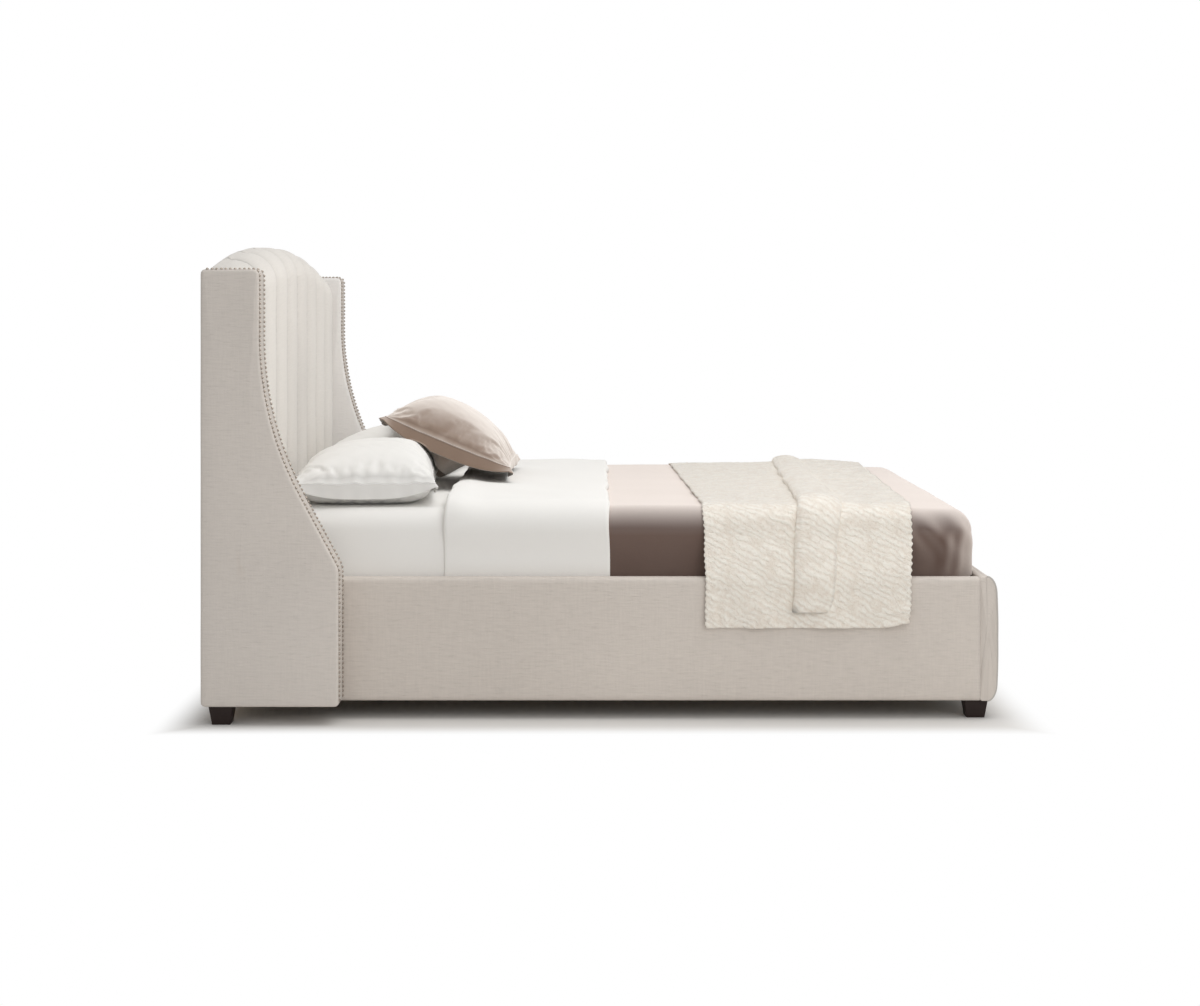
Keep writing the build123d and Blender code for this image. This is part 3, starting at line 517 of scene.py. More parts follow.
def knit_group():
    """Knitted rows that slant across the cloth: broken ribs of twisted strands, with a woolly fuzz."""
    group, given, result = new_group("Knit", ("Shade", "Height"), Row=0.016)
    cloth = given["Vector"]
    split = node(group, "ShaderNodeSeparateXYZ", {0: cloth}).outputs
    wander = noise(group, cloth, 17.0, 3.0, 0.6)
    slanted = weighted(group, (split[0], 1), (split[1], 0.55), (wander, 0.044))
    crossed = weighted(group, (split[1], 1), (split[0], -0.5))
    rows = maths(group, "DIVIDE", slanted, given["Row"])
    rib = maths(group, "ABSOLUTE", maths(group, "SINE", maths(group, "MULTIPLY", rows, math.pi)))
    along = {0: maths(group, "MULTIPLY", slanted, 190.0), 1: maths(group, "MULTIPLY", crossed, 105.0)}
    strands = noise(group, node(group, "ShaderNodeCombineXYZ", along).outputs[0], 1.0, 3.0, 0.6)
    patches = ranged(group, noise(group, cloth, 26.0, 2.0, 0.5), 0.30, 0.56)
    tufts = maths(group, "POWER", noise(group, cloth, 75.0, 2.0, 0.5), 2.0)
    fuzz = noise(group, cloth, 420.0, 3.0, 0.65)
    kept = maths(group, "MULTIPLY", rib, patches)
    height = weighted(group, (kept, 0.36), (fuzz, 0.22), (strands, 0.86), (tufts, 0.35))
    group.links.new(height, result["Height"])
    # The shade follows the height, so the low places between the loops get painted shade.
    group.links.new(maths(group, "MULTIPLY", height, 0.62), result["Shade"])
    return group


GROUP_MAKERS = {"Weave": weave_group, "Drift": drift_group, "Grain": grain_group, "Knit": knit_group}
GROUPS = {}


def grouped(tree, name, **inputs):
    """Place a shared node group, made on first use, with its inputs set or linked."""
    if name not in GROUPS:
        GROUPS[name] = GROUP_MAKERS[name]()
    return node(tree, "ShaderNodeGroup", inputs, node_tree=GROUPS[name]).outputs


def new_material(name, **sockets):
    """A material with a Principled shader, whose plain values are set on its own sockets."""
    material = bpy.data.materials.new(name)
    material.use_nodes = True
    tree = material.node_tree
    tree.nodes.clear()
    shader = tree.nodes.new("ShaderNodeBsdfPrincipled")
    output = tree.nodes.new("ShaderNodeOutputMaterial")
    tree.links.new(shader.outputs[0], output.inputs[0])
    for key, value in sockets.items():
        shader.inputs[key.replace("_", " ")].default_value = value
    return material, tree, shader


def opaque(colour, tone=1.0):
    """A colour times a tone, with the fourth part that a socket takes."""
    return tuple(min(1, part * tone) for part in colour) + (1,)


def toned(tree, colour, shade, tone, spread=0.3):
    """A colour between two tones, chosen by a shade that lies within a spread about 0.5."""
    factor = ranged(tree, shade, 0.5 - spread, 0.5 + spread)
    return blend(tree, factor, *(opaque(colour, part) for part in tone))


def with_painted_shade(tree, base):
    """The colour with painted shade where the piece's painted shade value is above 0, and painted light
    towards pale grey where it is below.
    """
    painted_shade = node(tree, "ShaderNodeAttribute", attribute_name="painted_shade").outputs["Fac"]
    painted_darkening = maths(tree, "MULTIPLY", maths(tree, "MAXIMUM", painted_shade, 0.0), 0.45)
    painted_light = maths(tree, "MULTIPLY", maths(tree, "MINIMUM", painted_shade, 0.0), -0.5)
    painted_dark = scaled(tree, base, maths(tree, "SUBTRACT", 1.0, painted_darkening))
    return blend(tree, painted_light, painted_dark, (0.92, 0.92, 0.92, 1))


def surfaced(tree, shader, base, height, distance):
    """Link the base colour, and a Bump node on the normal."""
    bump = node(tree, "ShaderNodeBump", {"Height": height, "Strength": 1.0, "Distance": distance})
    tree.links.new(base, shader.inputs["Base Color"])
    tree.links.new(bump.outputs[0], shader.inputs["Normal"])


def coordinates(tree, kind):
    """Object or UV coordinates."""
    return node(tree, "ShaderNodeTexCoord").outputs[kind]


def cloth_material(
    name,
    colour,
    threads=1.0,
    slub=0.5,
    tone=(0.93, 1.05),
    bump=0.0006,
    sheen=0.15,
    rough=0.88,
    painted_sheen=None,
    painted_sheen_power=0.7,
):
    """Woven cloth on a piece's own UV: slubs, streaks, slow drift of tone and a little sheen.

    The sheen colour given is a painted sheen: it is mixed in by Layer Weight, to the given power, where a
    satin or brushed cloth is seen at a low angle.
    """
    material, tree, shader = new_material(
        name, Roughness=rough, Sheen_Weight=sheen, Sheen_Roughness=0.5, Specular_IOR_Level=0.25
    )
    weave = grouped(tree, "Weave", Vector=coordinates(tree, "UV"), Threads=threads, Slub=slub)
    drift = grouped(tree, "Drift", Vector=coordinates(tree, "Object"), Size=2.2)
    shade = weighted(tree, (weave["Shade"], 0.7), (drift["Shade"], 0.3))
    base = toned(tree, colour, shade, tone, 0.2)
    if painted_sheen is not None:
        facing = node(tree, "ShaderNodeLayerWeight", {"Blend": 0.5}).outputs["Facing"]
        painted_sheen_share = maths(tree, "POWER", facing, painted_sheen_power)
        base = blend(tree, painted_sheen_share, base, toned(tree, painted_sheen, shade, tone, 0.2))
    surfaced(tree, shader, with_painted_shade(tree, base), weave["Height"], bump)
    return material


def knit_material(colour, painted_low_shade):
    """Woolly knit: slanting rows of stitches, with painted shade in the hollows."""
    material, tree, shader = new_material(
        "Cream knit", Roughness=0.95, Sheen_Weight=0.6, Sheen_Roughness=0.4, Specular_IOR_Level=0.15
    )
    knit = grouped(tree, "Knit", Vector=coordinates(tree, "UV"), Row=0.0185)
    wool = blend(tree, ranged(tree, knit["Shade"], 0.24, 0.64), opaque(painted_low_shade), opaque(colour))
    surfaced(tree, shader, with_painted_shade(tree, wool), knit["Height"], 0.0042)
    return material


def wood_material(name, colour, rough=0.6, tone=(0.75, 1.15), size=1.0, coat=0.0):
    """Timber with drawn-out grain and open pores."""
    material, tree, shader = new_material(
        name, Roughness=rough, Coat_Weight=coat, Coat_Roughness=0.3, Specular_IOR_Level=0.25
    )
    grain = grouped(tree, "Grain", Vector=coordinates(tree, "Object"), Size=size)
    surfaced(tree, shader, toned(tree, colour, grain["Shade"], tone), grain["Height"], 0.0002)
    return material


def metal_material(name, colour, rough):
    """Plated or pewter metal with cloudy tone and fine wear."""
    material, tree, shader = new_material(name, Metallic=1.0)
    place = coordinates(tree, "Object")
    cloud = noise(tree, place, 60.0, 3.0, 0.6)
    tree.links.new(ranged(tree, cloud, 0.0, 1.0, rough - 0.1, rough + 0.15), shader.inputs["Roughness"])
    surfaced(tree, shader, toned(tree, colour, cloud, (0.7, 1.15)), noise(tree, place, 900.0), 0.0001)
    return material


def plastic_material(name, colour):
    """Moulded plastic with a fine grain."""
    material, tree, shader = new_material(name, Roughness=0.5)
    place = coordinates(tree, "Object")
    base = toned(tree, colour, noise(tree, place, 40.0), (0.85, 1.1))
    surfaced(tree, shader, base, noise(tree, place, 1500.0), 0.0001)
    return material


MATERIALS = {}


def make_materials(colours):
    """All finishes of the bed, by the record's slot names."""
    made = {
        "upholstery_linen": cloth_material(
            "Upholstery linen", colours.linen, slub=0.6, tone=(0.89, 1.07), bump=0.001
        ),
        "channel_linen": cloth_material(
            "Channel linen", colours.channel, slub=0.4, tone=(0.92, 1.04), bump=0.0008
        ),
        "welt_cord": cloth_material("Welt cord", colours.welt, threads=2.0),
        "pewter_nail": metal_material("Pewter nail", colours.nail, 0.3),
        "dark_timber": wood_material("Dark timber", colours.leg, 0.6, (0.7, 1.25), 1.6, 0.04),
        "frame_timber": wood_material("Frame timber", colours.timber, 0.7),
        "plywood": wood_material("Plywood", colours.board, 0.65, (0.88, 1.06), 0.6),
        "zinc_steel": metal_material("Zinc steel", colours.steel, 0.4),
        "glide_plastic": plastic_material("Glide plastic", colours.plastic),
        "mattress_ticking": cloth_material("Mattress ticking", colours.ticking, threads=1.5, slub=0.1),
        "white_cotton": cloth_material(
            "White cotton", colours.cotton, 2.2, 0.08, (0.975, 1.012), 0.0002, 0.1
        ),
        "taupe_cotton": cloth_material(
            "Taupe cotton", colours.blanket, 1.6, 0.12, (0.93, 1.05), 0.0003, 0.2, 0.8, colours.blanket_painted_sheen
        ),
        "taupe_satin": cloth_material(
            "Taupe satin", colours.satin, 2.0, 0.05, (0.94, 1.05), 0.0003, 0.2, 0.55, colours.satin_painted_sheen, 1.3
        ),
        "cream_knit": knit_material(colours.knit, colours.knit_painted_shade),
    }
    MATERIALS.update(made)


def finish_nodes(*names):
    """Give carried-over nodes their finish, by the slot that the record names for each."""
    slots = {part["node"]: part["material_slot"] for part in frame["record"]["subparts"]}
    for name in names:
        part = frame["nodes"][name]
        part.data.materials.clear()
        part.data.materials.append(MATERIALS[slots[name]])


# Wings


def wing_front_path():
    """The front edge from the top corner down: straight, swept, slanted, rounded and straight."""
    sweep = math.radians(WING_SWEEP_ANGLE)
    front = HEAD + WING_TOP_DEPTH
    sweep_top = WING_TOP - WING_STRAIGHT
    slant_x = front + WING_SWEEP_RADIUS * (1 - math.cos(sweep))
    slant_z = sweep_top - WING_SWEEP_RADIUS * math.sin(sweep)
    corner_z = slant_z - (WING_FOOT_X - slant_x) / math.tan(sweep)
    heel_z = corner_z - WING_HEEL_RADIUS * math.tan(sweep / 2)
    heel = (WING_FOOT_X - WING_HEEL_RADIUS, heel_z)
    swept = (front + WING_SWEEP_RADIUS, sweep_top)
    return joined(
        line((front, WING_TOP - WING_CORNER), (front, sweep_top), 8),
        arc(swept, WING_SWEEP_RADIUS, 180, 180 + WING_SWEEP_ANGLE, 40),
        arc(heel, WING_HEEL_RADIUS, WING_SWEEP_ANGLE, 0, 12),
        line((WING_FOOT_X, heel_z), (WING_FOOT_X, RAIL_FOOT + WING_FOOT_CORNER), 8),
    )


def wing_outline(count):
    """The wing's outline from the foot up its back, over the top and down the front."""
    r, low_z = WING_FOOT_CORNER, RAIL_FOOT
    back, front = HEAD, HEAD + WING_TOP_DEPTH
    path = joined(
        arc((back + r, low_z + r), r, 270, 180, 5),
        arc((back + r, WING_TOP - r), r, 180, 90, 5),
        arc((front - WING_CORNER, WING_TOP - WING_CORNER), WING_CORNER, 90, 0, 8),
        wing_front_path(),
        arc((WING_FOOT_X - r, low_z + r), r, 0, -90, 5),
        np.array([[back + r, low_z]]),
    )
    return evenly(path, count + 1)[:-1]


def make_wing(name, side, sizes):
    """A padded wing: its outline carried across its thickness.

    Each ring is the outline drawn in by the rounding, 1 - cos of the turn, at the depth of
    sin of the turn. On the flat sides the rings shrink to a middle point, and swell by the crown
    times 1 - k^6, where k is the ring's share of the full outline. The cloth has painted shade
    along the front between the flat sides, and painted light on the sides, most on the one
    towards the bed.
    """
    outline = wing_outline(420)
    inward = -normals_of(np.concatenate([outline[-1:], outline, outline[:1]]))[1:-1]
    middle = np.array(WING_MIDDLE)
    if (inward * (middle - outline)).sum() < 0:
        inward = -inward
    half = (WING_OUT - WING_IN) / 2
    drawn = outline + inward * WING_ROUNDING
    rings, depth = [], []
    for share in (0.08, 0.2, 0.34, 0.5, 0.65, 0.78, 0.88, 0.94, 0.975):
        rings.append(middle + (drawn - middle) * share)
        depth.append(half + sizes.wing_crown * (1 - share**6))
    for turn in np.radians(np.linspace(90, 0, 6)):
        rings.append(outline + inward * WING_ROUNDING * (1 - math.cos(turn)))
        depth.append(half - WING_ROUNDING * (1 - math.sin(turn)))
    rings, depth = np.array(rings), np.array(depth)
    across = np.concatenate([-depth, np.linspace(-depth[-1], depth[-1], 14)[1:-1], depth[::-1]])
    flat = np.broadcast_to(outline, (12,) + outline.shape)
    plan = np.concatenate([rings, flat, rings[::-1]])
    y = np.broadcast_to(across[:, None], plan.shape[:2])
    x, z = plan[..., 0], plan[..., 1]
    swell = 0.0014 * ripple(x, z, 0.30, 3) * (np.abs(y) > half - WING_ROUNDING * 0.9)
    points = carried(plan, side * (WING_OUT + WING_IN) / 2 + y + np.sign(y) * swell)
    uv = np.stack([x + y, z], axis=-1)
    # Painted shade along the front band, and painted light on the flat sides, most on the side towards the
    # bed.
    face = smooth(np.abs(y), half - WING_ROUNDING, half - WING_ROUNDING * 0.3)
    front = smooth(x - HEAD, 0.09, 0.13) * smooth(outline[:, 1].max() - z, 0.003, 0.012)
    painted_light = face * (WING_FACE_PAINTED_LIGHT + WING_INNER_PAINTED_LIGHT * (side * y < 0))
    painted_shade = WING_FRONT_PAINTED_SHADE * front * (1 - face) - painted_light
    return ring_loft(name, points, uv, "upholstery_linen", "frame", painted_shade)


def nail_template(radius, rise):
    """A dome of three rings and a tip, over a flat base: radius times cosine, rise times sine."""
    sides, turns = 9, np.radians([0, 28, 58])
    around = np.radians(np.arange(sides) * 360 / sides)
    ring = np.stack([np.cos(around), np.sin(around)], axis=-1) * radius
    rings = [np.column_stack([ring * math.cos(t), np.full(sides, rise * math.sin(t))]) for t in turns]
    points = np.concatenate(rings + [np.array([[0, 0, rise], [0, 0, 0]])])
    tip, base = len(points) - 2, len(points) - 1
    at = np.arange(sides)
    beside = (at + 1) % sides
    cap = np.stack([tip - sides + at, tip - sides + beside, np.full(sides, tip)], axis=-1)
    under = np.stack([beside, at, np.full(sides, base)], axis=-1)
    return points, quads_of(len(turns), sides, True), np.concatenate([cap, under])


def make_nails(name, side, sizes):
    """Dome nails in two rows down the front edge and over the top, one dome placed at each."""
    corner = (HEAD + WING_TOP_DEPTH - WING_CORNER, WING_TOP - WING_CORNER)
    path = joined(
        line((HEAD + WING_FOOT_CORNER, WING_TOP), (corner[0], WING_TOP), 8),
        arc(corner, WING_CORNER, 90, 0, 12),
        wing_front_path(),
    )
    count = int(lengths(path)[-1] / sizes.nail_pitch)
    stops = evenly(path, 2 * count + 1)
    facing = normals_of(stops)[1::2]
    places = stops[1::2]
    scatter = np.random.default_rng(5)
    rows = [WING_OUT - sizes.nail_inset, WING_IN + sizes.nail_inset]
    places = np.concatenate([np.insert(places, 1, side * row, axis=1) for row in rows])
    facing = np.insert(np.concatenate([facing, facing]), 1, 0.0, axis=1)
    places = places + scatter.normal(0, 0.00025, places.shape) * [1, 1, 0]
    cross = np.tile([0.0, 1.0, 0.0], (len(places), 1))
    third = np.cross(facing, cross)
    dome, quads, triangles = nail_template(sizes.nail_radius, sizes.nail_rise)
    points = (
        places[:, None]
        + dome[None, :, :1] * third[:, None]
        + dome[None, :, 1:2] * cross[:, None]
        + dome[None, :, 2:] * facing[:, None]
    )
    shift = np.arange(len(places))[:, None, None] * len(dome)
    all_quads = (quads[None] + shift).reshape(-1, 4)
    all_triangles = (triangles[None] + shift).reshape(-1, 3)
    flat = points.reshape(-1, 3)
    piece = build(name, flat, all_quads, all_triangles, flat[:, [0, 2]], "pewter_nail", "frame")
    return welded(piece, 1e-7)


# Headboard


def arch_height(y):
    """The height of the pad's seams at y, on a circle through the wings and the crest."""
    radius = (WING_IN**2 + ARCH_RISE**2) / (2 * ARCH_RISE)
    return WING_TOP + ARCH_RISE - radius + np.sqrt(radius**2 - y**2)


def make_channels(name, sizes):
    """The channelled pad: a section round its front, top and back, carried from wing to wing.

    Between its two seams a channel swells by 1 - |2t - 1|^2.3, to the power 0.8, less towards the
    back of its top. Beside each seam small gathers run across it: a sine along the section that
    fades away from the seam.
    """
    per_channel = 26
    y = np.linspace(-WING_IN, WING_IN, CHANNELS * per_channel + 1)
    place = (y + WING_IN) / (2 * WING_IN) * CHANNELS
    t = place - np.floor(np.minimum(place, CHANNELS - 1e-9))
    swell = (1 - np.abs(2 * t - 1) ** 2.3) ** 0.8
    seam = arch_height(y)
    crest = 1 - (y / WING_IN) ** 2
    front = PAD_CROWN_X - CHANNEL_CROWN + CHANNEL_SWELL * swell
    top = seam + (CHANNEL_TOP_CROWN * swell + 0.004) * (0.15 + 0.85 * crest)
    back_top = seam + (CHANNEL_TOP_CROWN * 0.85 + 0.006) * (0.1 + 0.9 * crest)
    over = line(0, 1, 8)[:-1]
    under_edge, back_arc = 3, 7
    rings = []
    for i in range(len(y)):
        lip, board_top = seam[i] - PAD_BACK_ROUND - PAD_LIP, seam[i] - PAD_THICKNESS
        front_middle = (front[i] - PAD_ROUND, top[i] - PAD_ROUND)
        back_middle = (HEAD + PAD_BACK_ROUND, back_top[i] - PAD_BACK_ROUND)
        top_line = top[i] + (back_top[i] - top[i]) * smooth(over, 0, 0.75)
        top_x = front_middle[0] + (back_middle[0] - front_middle[0]) * over
        path = [
            line((BOARD_FRONT, PAD_FOOT), (front[i], PAD_FOOT), under_edge + 1)[:-1],
            line((front[i], PAD_FOOT), (front[i], front_middle[1]), 90)[:-1],
            arc(front_middle, PAD_ROUND, 0, 90, 16)[:-1],
            np.column_stack([top_x, top_line]),
            arc(back_middle, PAD_BACK_ROUND, 90, 180, back_arc + 1)[:-1],
        ]
        seen = sum(len(stretch) for stretch in path)
        corners = [(HEAD, back_middle[1]), (HEAD, lip), (PANEL_FRONT, lip), (PANEL_FRONT, board_top)]
        corners += [(BOARD_FRONT, board_top), (BOARD_FRONT, PAD_FOOT)]
        path += [line(a, b, n)[:-1] for a, b, n in zip(corners, corners[1:], (4, 2, 2, 3, 6))]
        rings.append(np.concatenate(path))
    plan = np.array(rings)
    along = lengths(plan[len(y) // 2])
    y, place = y[:, None], place[:, None]
    near_seam = (np.minimum(t, 1 - t) * 2 * WING_IN / CHANNELS)[:, None]
    gather = np.sin(2 * math.pi * along / 0.031 + 2.1 * place**1.3)
    gather += 0.6 * np.sin(2 * math.pi * along / 0.019 + 3.7 * np.floor(place))
    fade = np.exp(-((near_seam / 0.022) ** 2)) * (near_seam > 1e-6)
    slack = 0.0016 * ripple(along + 0 * y, y * 1.5 + 0 * along, 0.35, 11) * swell[:, None]
    push = sizes.pucker * gather * fade + slack
    seam_painted_shade = np.exp(-((near_seam / 0.007) ** 2)) * np.ones_like(along)
    push[:, :under_edge] = seam_painted_shade[:, :under_edge] = 0
    push[:, seen:] = seam_painted_shade[:, seen - back_arc :] = 0
    tangent = unit(np.gradient(plan, axis=1))
    outward = np.stack([tangent[..., 1], -tangent[..., 0]], axis=-1)
    points = carried(plan + outward * push[..., None], y)
    uv = np.stack(np.broadcast_arrays(y, along), axis=-1)
    # Painted shade along each seam and a little beside it, and painted shade that grows towards the pad's
    # top.
    painted_shade = 0.75 * seam_painted_shade + 0.25 * np.exp(-((near_seam / 0.03) ** 2))
    painted_shade = painted_shade + 0.3 * smooth(points[..., 2] - seam[:, None], -0.07, 0.0)
    return ring_loft(name, points, uv, "channel_linen", "frame", painted_shade)


# Rails and footboard


def rounded_box(width, height, radius, count):
    """A rounded rectangle's outline about its middle, anticlockwise from its lower left."""
    w, h = width / 2 - radius, height / 2 - radius
    path = joined(
        arc((w, -h), radius, -90, 0, 8),
        arc((w, h), radius, 0, 90, 8),
        arc((-w, h), radius, 90, 180, 8),
        arc((-w, -h), radius, 180, 270, 8),
        np.array([[w, -height / 2]]),
    )
    return evenly(path, count + 1)[:-1]


def make_rail(name, side, sizes):
    """A padded rail: a rounded section carried from the headboard to the footboard.

    Its outer side swells by the crown times 1 - h^4, where h is the share of half its height.
    """
    width, height = RAIL_OUT - RAIL_IN, RAIL_TOP - RAIL_FOOT
    section = rounded_box(width, height, RAIL_ROUND, 96)
    x = np.linspace(RAIL_START, RAIL_END, 160)[:, None]
    share = np.abs(section[:, 1]) / (height / 2)
    outer = section[:, 0] > width / 2 - 0.002
    crown = np.where(outer, sizes.rail_crown * (1 - share**4), 0)
    wave = ripple(x, section[:, 1] + 0 * x, 0.35, 8) * LINEN_WAVE * outer
    y = side * ((RAIL_OUT + RAIL_IN) / 2 + section[:, 0] - 0.001 + crown + wave)
    z = (RAIL_TOP + RAIL_FOOT) / 2 + section[:, 1]
    points = np.stack(np.broadcast_arrays(x, y, z), axis=-1)
    uv = np.stack(np.broadcast_arrays(x, lengths(section)), axis=-1)
    return ring_loft(name, points, uv, "upholstery_linen", "frame")


def footboard_section():
    """The footboard's outline: flat inside, rounded shoulders, bulging outside."""
    lo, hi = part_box("footboard_cover")
    inner, face, foot, top = lo[0], hi[0], lo[2], hi[2]
    shoulder, drop, bulge = 0.026, 0.048, 0.003
    side = face - bulge
    turn = np.radians(np.linspace(0, 90, 12))
    rise = np.stack([side - shoulder + shoulder * np.sin(turn), top - drop + drop * np.cos(turn)], axis=-1)
    z = np.linspace(top - drop, foot + drop, 24)
    middle, half = (z[0] + z[-1]) / 2, (z[0] - z[-1]) / 2
    swell = np.stack([side + bulge * (1 - ((z - middle) / half) ** 2), z], axis=-1)
    fall = np.stack([side - shoulder + shoulder * np.cos(turn), foot + drop - drop * np.sin(turn)], axis=-1)
    outer = joined(rise, swell, fall)
    inside = joined(
        line((side - shoulder, foot), (inner + 0.006, foot), 4),
        arc((inner + 0.006, foot + 0.006), 0.006, 270, 180, 4),
        arc((inner + 0.008, top - 0.008), 0.008, 180, 90, 5),
        line((inner + 0.008, top), (side - shoulder, top), 6),
    )
    return outer, inside


def make_footboard(name):
    """The footboard's outline carried from end to end, drawn in a little at both ends."""
    section = evenly(joined(*footboard_section()), 181)[:-1]
    middle = section.mean(0)
    turn = np.radians(np.linspace(0, 90, 5))
    ends = RAIL_OUT - FOOTBOARD_END_ROUND * (1 - np.sin(turn))
    y = np.concatenate([-ends[::-1], np.linspace(-ends[0], ends[0], 120)[1:-1], ends])[:, None]
    drawn = FOOTBOARD_END_ROUND * (1 - np.cos(turn))
    shrink = np.concatenate([drawn[::-1], np.zeros(118), drawn])
    plan = section + unit(middle - section) * shrink[:, None, None]
    wave = ripple(y, section[:, 1] + 0 * y, 0.4, 21) * LINEN_WAVE
    plan[..., 0] += wave * (section[:, 0] > middle[0] + 0.015) - 0.0005
    uv = np.stack(np.broadcast_arrays(y, lengths(section)), axis=-1)
    return ring_loft(name, carried(plan, y), uv, "upholstery_linen", "frame")


def tube(name, path, radius, sides, slot, body):
    """A round cord along a path in space: a circle in the plane across each point's tangent."""
    tangent = unit(np.gradient(path, axis=0))
    across = unit(np.cross(tangent, [0.0, 1.0, 0.0]))
    third = np.cross(tangent, across)
    turn = np.linspace(0, 2 * math.pi, sides, endpoint=False)
    ring = across[:, None] * np.cos(turn)[:, None] + third[:, None] * np.sin(turn)[:, None]
    uv = np.stack(np.broadcast_arrays(lengths(path)[:, None], turn * radius), axis=-1)
    return ring_loft(name, path[:, None] + radius * ring, uv, slot, body)


def make_welts(sizes):
    """The corded seams: round tubes along the outer outline at the footboard's two ends."""
    path = evenly(footboard_section()[0], 90)
    inward = np.array([path[:, 0].min(), (path[:, 1].min() + path[:, 1].max()) / 2]) - path
    path = path + unit(inward) * sizes.welt_radius * 0.35
    made = []
    for side, word in SIDES:
        y = np.full(len(path), side * (RAIL_OUT - sizes.welt_radius))
        spine = np.column_stack([path[:, 0], y, path[:, 1]])
        made.append(tube(f"welt_{word}", spine, sizes.welt_radius, 10, "welt_cord", "frame"))
    return made


# Mattress and the covers tucked round it


def half_plan(grow, start=None):
    """Half of the mattress's rounded plan, on the left, from its head (or start) to its foot."""
    lo, hi = MATTRESS_LOW[0] - grow, MATTRESS_HIGH[0] + grow
    side, corner = MATTRESS_LOW[1] - grow, MATTRESS_CORNER + grow
    head = joined(
        line((lo, 0), (lo, side + corner), 12), arc((lo + corner, side + corner), corner, 180, 270, 10)
    )
    if start is not None:
        head = np.array([[start, side]])
    return joined(
        head, arc((hi - corner, side + corner), corner, 270, 360, 10), line((hi, side + corner), (hi, 0), 12)
    )


def slab_cover(grow, hem, count, start=None):
    """A cover over the mattress: its plan carried up the sides, round the edge and over the top.

    Over the top each row moves from the edge to a line along the bed's middle. Returns the
    points, the number of rows up the side, the same with the rounded edge, and the plan's
    directions inwards.
    """
    half = evenly(half_plan(grow, start), count)
    plan = np.concatenate([half, (half * [1, -1])[::-1][1:]])
    radius, top = MATTRESS_ROUND + grow, MATTRESS_HIGH[2] + grow
    inward = normals_of(plan)
    inward *= np.sign((inward * (np.array([0.2, 0]) - plan)).sum(1))[:, None]
    spine_start = MATTRESS_LOW[0] + MATTRESS_SPINE_INSET if start is None else start
    spine_x = np.clip(plan[:, 0], spine_start, MATTRESS_HIGH[0] - MATTRESS_SPINE_INSET)
    spine = np.column_stack([spine_x, np.zeros(len(plan))])
    inset = plan + inward * radius

    def row(ring, z):
        return np.column_stack([ring, np.full(len(ring), z)])

    side_z = np.linspace(hem, top - radius, 14)[:-1]
    turn = np.radians(np.linspace(0, 90, 12))
    rows = [row(plan, z) for z in side_z]
    for angle in turn:
        edge = plan + inward * radius * (1 - math.cos(angle))
        rows.append(row(edge, top - radius * (1 - math.sin(angle))))
    rows += [row(spine + (inset - spine) * share, top) for share in np.linspace(1, 0, 44)[1:]]
    points = np.array(rows)
    share_up = smooth(points[..., 2], top - radius - 0.02, top - radius + 0.03)
    toward_foot = smooth(points[..., 0], MATTRESS_HIGH[0] - 0.40, MATTRESS_HIGH[0] - 0.05)
    points[..., 2] -= FOOT_DROP * toward_foot * share_up
    return points, len(side_z), len(side_z) + len(turn), inward


def cover_piece(name, points, slot, closed=True, painted_shade=None):
    """A cover's mesh, with its cloth laid along and across the top and down the sides."""
    drop = points[..., 2].max() - points[..., 2]
    side = np.where(points[..., 1] < 0, -1, 1)
    uv = np.stack([points[..., 0], points[..., 1] + side * drop], axis=-1)
    return welded(grid_sheet(name, points, uv, slot, "mattress", painted_shade, closed))


def make_mattress(name):
    """The mattress: its rounded plan carried up its sides, over its top and in under its edge."""
    base = MATTRESS_LOW[2]
    points, _, _, inward = slab_cover(0.0, base + MATTRESS_UNDER_ROUND, 150)
    under = []
    for angle in np.radians(np.linspace(90, 0, 5)):
        ring = points[0].copy()
        ring[:, :2] += inward * MATTRESS_UNDER_ROUND * (1 - math.cos(angle))
        ring[:, 2] = base + MATTRESS_UNDER_ROUND * (1 - math.sin(angle))
        under.append(ring)
    closing = under[0].copy()
    middle = MATTRESS_LOW[0] + MATTRESS_SPINE_INSET, MATTRESS_HIGH[0] - MATTRESS_SPINE_INSET
    closing[:, 0], closing[:, 1] = np.clip(closing[:, 0], *middle), 0
    return cover_piece(name, np.concatenate([[closing], under[:-1], points]), "mattress_ticking")


def make_fitted_sheet(name):
    """The fitted sheet: the mattress's form, stretched smooth with a few soft pulls."""
    points, side_rows, edge_rows, _ = slab_cover(SHEET_GROW, low("fitted_sheet", 2), 170)
    x, y, z = (points[..., k] for k in range(3))
    pull = 0.0009 * ripple(x, y * 3.0, 0.5, 31)
    points[edge_rows:, :, 2] += pull[edge_rows:]
    points[:side_rows, :, 1] += (0.0006 * np.sign(y) * (1 + ripple(x * 3, z, 0.3, 32)))[:side_rows]
    piece = cover_piece(name, points, "white_cotton")
    return piece


